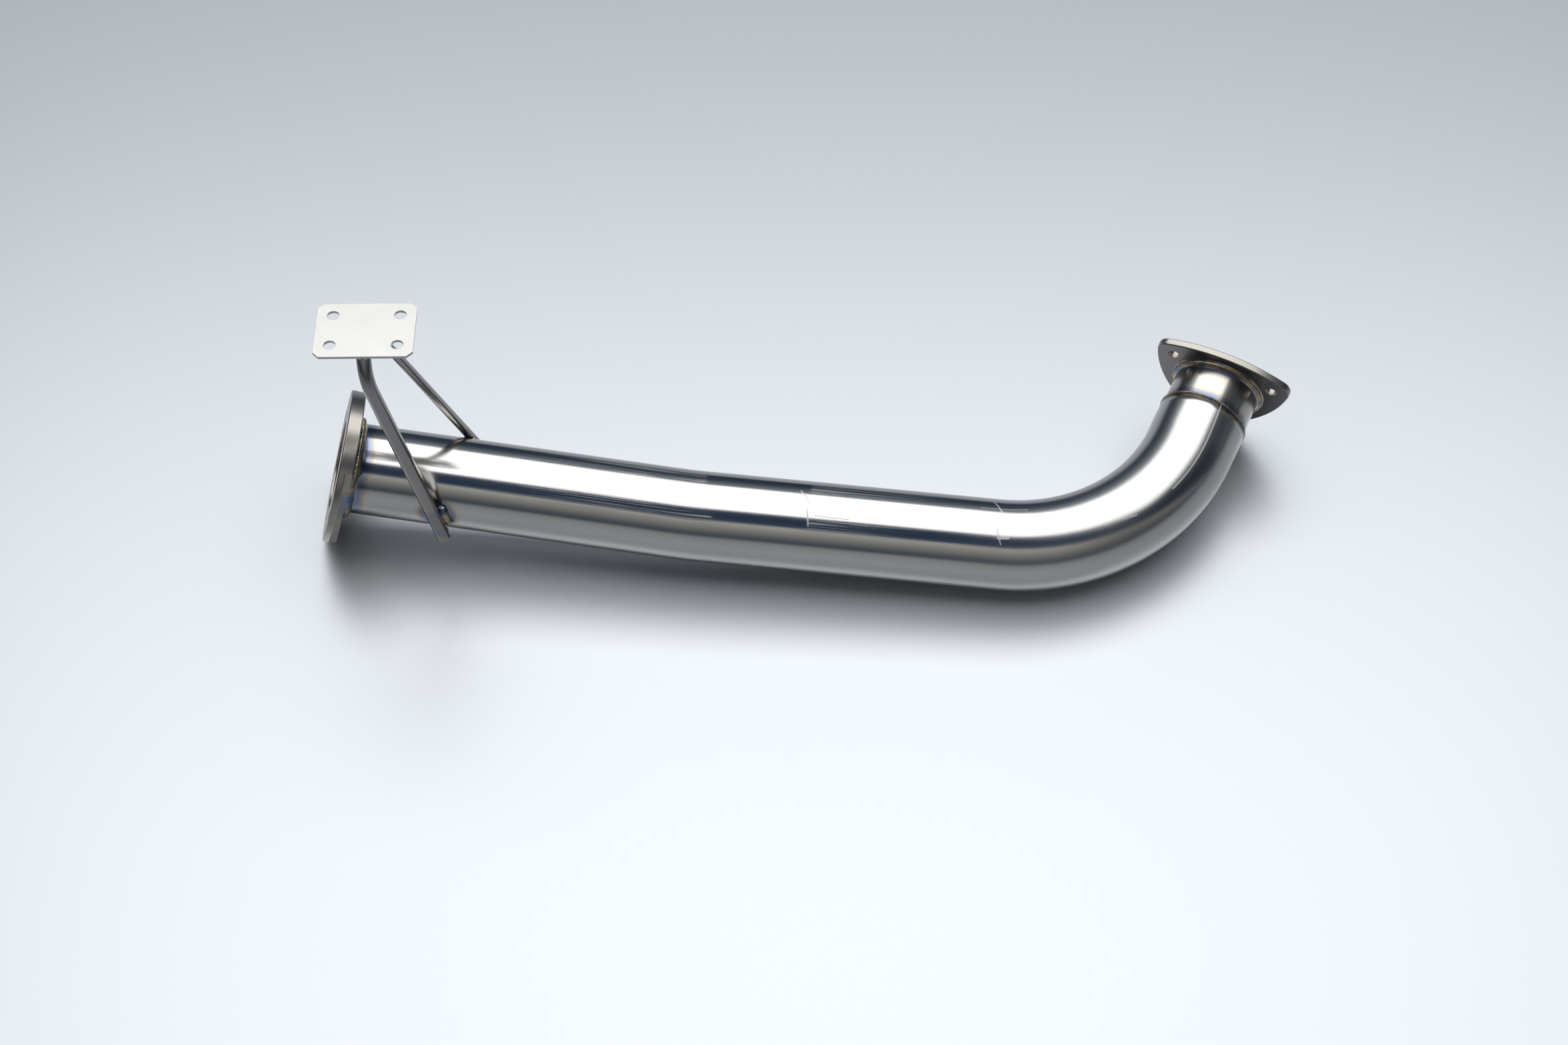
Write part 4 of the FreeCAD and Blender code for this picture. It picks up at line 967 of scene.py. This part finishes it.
def make_floor():
    half = FLOOR_SPAN / 2
    mesh = bpy.data.meshes.new("studio_floor")
    corners = [(-half, -half, 0), (half, -half, 0), (half, half, 0), (-half, half, 0)]
    mesh.from_pydata(corners, [], [(0, 1, 2, 3)])
    mesh.materials.append(floor_sheet())
    floor = bpy.data.objects.new("studio_floor", mesh)
    bpy.context.collection.objects.link(floor)


def make_room():
    """Room light by direction: grey wall in front, a dark gap, the bright ceiling and a dim back."""
    world = bpy.data.worlds.new("studio_room")
    world.use_nodes = True
    tree = world.node_tree
    tree.nodes.clear()
    direction = add(tree, "ShaderNodeTexCoord").outputs["Generated"]
    parts = add(tree, "ShaderNodeSeparateXYZ", {0: direction})
    toward = add(tree, "ShaderNodeMath", {0: parts.outputs["Y"], 1: -1.0}, operation="MULTIPLY").outputs[0]
    up = add(tree, "ShaderNodeMath", {0: parts.outputs["Z"]}, operation="ABSOLUTE").outputs[0]
    turn = add(tree, "ShaderNodeMath", {0: up, 1: toward}, operation="ARCTAN2").outputs[0]
    share = add(tree, "ShaderNodeMath", {0: turn, 1: math.pi}, operation="DIVIDE").outputs[0]
    bands = add(tree, "ShaderNodeValToRGB", {0: share},
                [(degrees / 180, linear(value)) for degrees, value in ROOM_BANDS]).outputs[0]
    aside = add(tree, "ShaderNodeMath", {0: parts.outputs["X"]}, operation="ABSOLUTE").outputs[0]
    strength = settings().stage.room_strength
    fading = add(tree, "ShaderNodeMapRange",
                 {0: aside, 1: 0.25, 2: 0.7, 3: strength, 4: strength * ROOM_END_SHARE})
    background = add(tree, "ShaderNodeBackground", {"Color": bands, "Strength": fading.outputs[0]})
    add(tree, "ShaderNodeOutputWorld", {"Surface": background.outputs[0]})
    bpy.context.scene.world = world


def make_softbox():
    """One wide softbox over the part, a little behind it, so that its shadow falls softly to the front."""
    stage = settings().stage
    data = bpy.data.lights.new("softbox", "AREA")
    data.shape = "RECTANGLE"
    data.size = SOFTBOX_LENGTH
    data.size_y = stage.softbox_height * (SOFTBOX_AHEAD + SOFTBOX_BEHIND)
    data.energy = stage.softbox_power
    softbox = bpy.data.objects.new("softbox", data)
    middle = stage.softbox_height * (SOFTBOX_BEHIND - SOFTBOX_AHEAD) / 2
    softbox.location = (0, middle, stage.softbox_height)
    bpy.context.collection.objects.link(softbox)


# Operators

class EXHAUST_OT_tube(bpy.types.Operator):
    """Make the main tube with its elbow"""
    bl_idname = "exhaust.tube"
    bl_label = "Main Tube"

    def execute(self, context):
        make_tube()
        return {"FINISHED"}


class EXHAUST_OT_collar(bpy.types.Operator):
    """Make the collar between the tube and the front flange"""
    bl_idname = "exhaust.collar"
    bl_label = "Collar"

    def execute(self, context):
        make_collar()
        return {"FINISHED"}


class EXHAUST_OT_flanges(bpy.types.Operator):
    """Make the front and the rear flange"""
    bl_idname = "exhaust.flanges"
    bl_label = "Flanges"

    def execute(self, context):
        make_flanges()
        return {"FINISHED"}


class EXHAUST_OT_bracket(bpy.types.Operator):
    """Make the bracket plate"""
    bl_idname = "exhaust.bracket"
    bl_label = "Bracket Plate"

    def execute(self, context):
        make_bracket()
        return {"FINISHED"}


class EXHAUST_OT_stays(bpy.types.Operator):
    """Make the two rod stays"""
    bl_idname = "exhaust.stays"
    bl_label = "Stays"

    def execute(self, context):
        make_stays()
        return {"FINISHED"}


class EXHAUST_OT_welds(bpy.types.Operator):
    """Make the rippled weld beads"""
    bl_idname = "exhaust.welds"
    bl_label = "Welds"

    def execute(self, context):
        make_welds()
        return {"FINISHED"}


class EXHAUST_OT_stage(bpy.types.Operator):
    """Make the floor, the lights and the camera"""
    bl_idname = "exhaust.stage"
    bl_label = "Stage"

    def execute(self, context):
        make_floor()
        make_room()
        make_softbox()
        make_camera()
        context.scene.view_settings.view_transform = "Standard"
        return {"FINISHED"}


OPERATORS = (EXHAUST_OT_tube, EXHAUST_OT_collar, EXHAUST_OT_flanges, EXHAUST_OT_bracket, EXHAUST_OT_stays,
             EXHAUST_OT_welds, EXHAUST_OT_stage)


class EXHAUST_PT_panel(bpy.types.Panel):
    """Lists the pieces of the front pipe"""
    bl_idname = "EXHAUST_PT_panel"
    bl_label = "Exhaust Front Pipe"
    bl_space_type = "VIEW_3D"
    bl_region_type = "UI"
    bl_category = "Exhaust"

    def draw(self, context):
        for operator in OPERATORS:
            self.layout.operator(operator.bl_idname)


CLASSES = (TubeSizes, FlangeSizes, StaySizes, WeldSizes, FinishColours, StageSettings, PipeSettings,
           *OPERATORS, EXHAUST_PT_panel)


def register():
    for item in CLASSES:
        bpy.utils.register_class(item)
    bpy.types.Scene.exhaust_pipe = PointerProperty(type=PipeSettings)


def unregister():
    del bpy.types.Scene.exhaust_pipe
    for item in reversed(CLASSES):
        bpy.utils.unregister_class(item)


def main():
    register()
    bpy.ops.exhaust.tube()
    bpy.ops.exhaust.collar()
    bpy.ops.exhaust.flanges()
    bpy.ops.exhaust.bracket()
    bpy.ops.exhaust.stays()
    bpy.ops.exhaust.welds()
    bpy.ops.exhaust.stage()


if __name__ == "__main__":
    main()
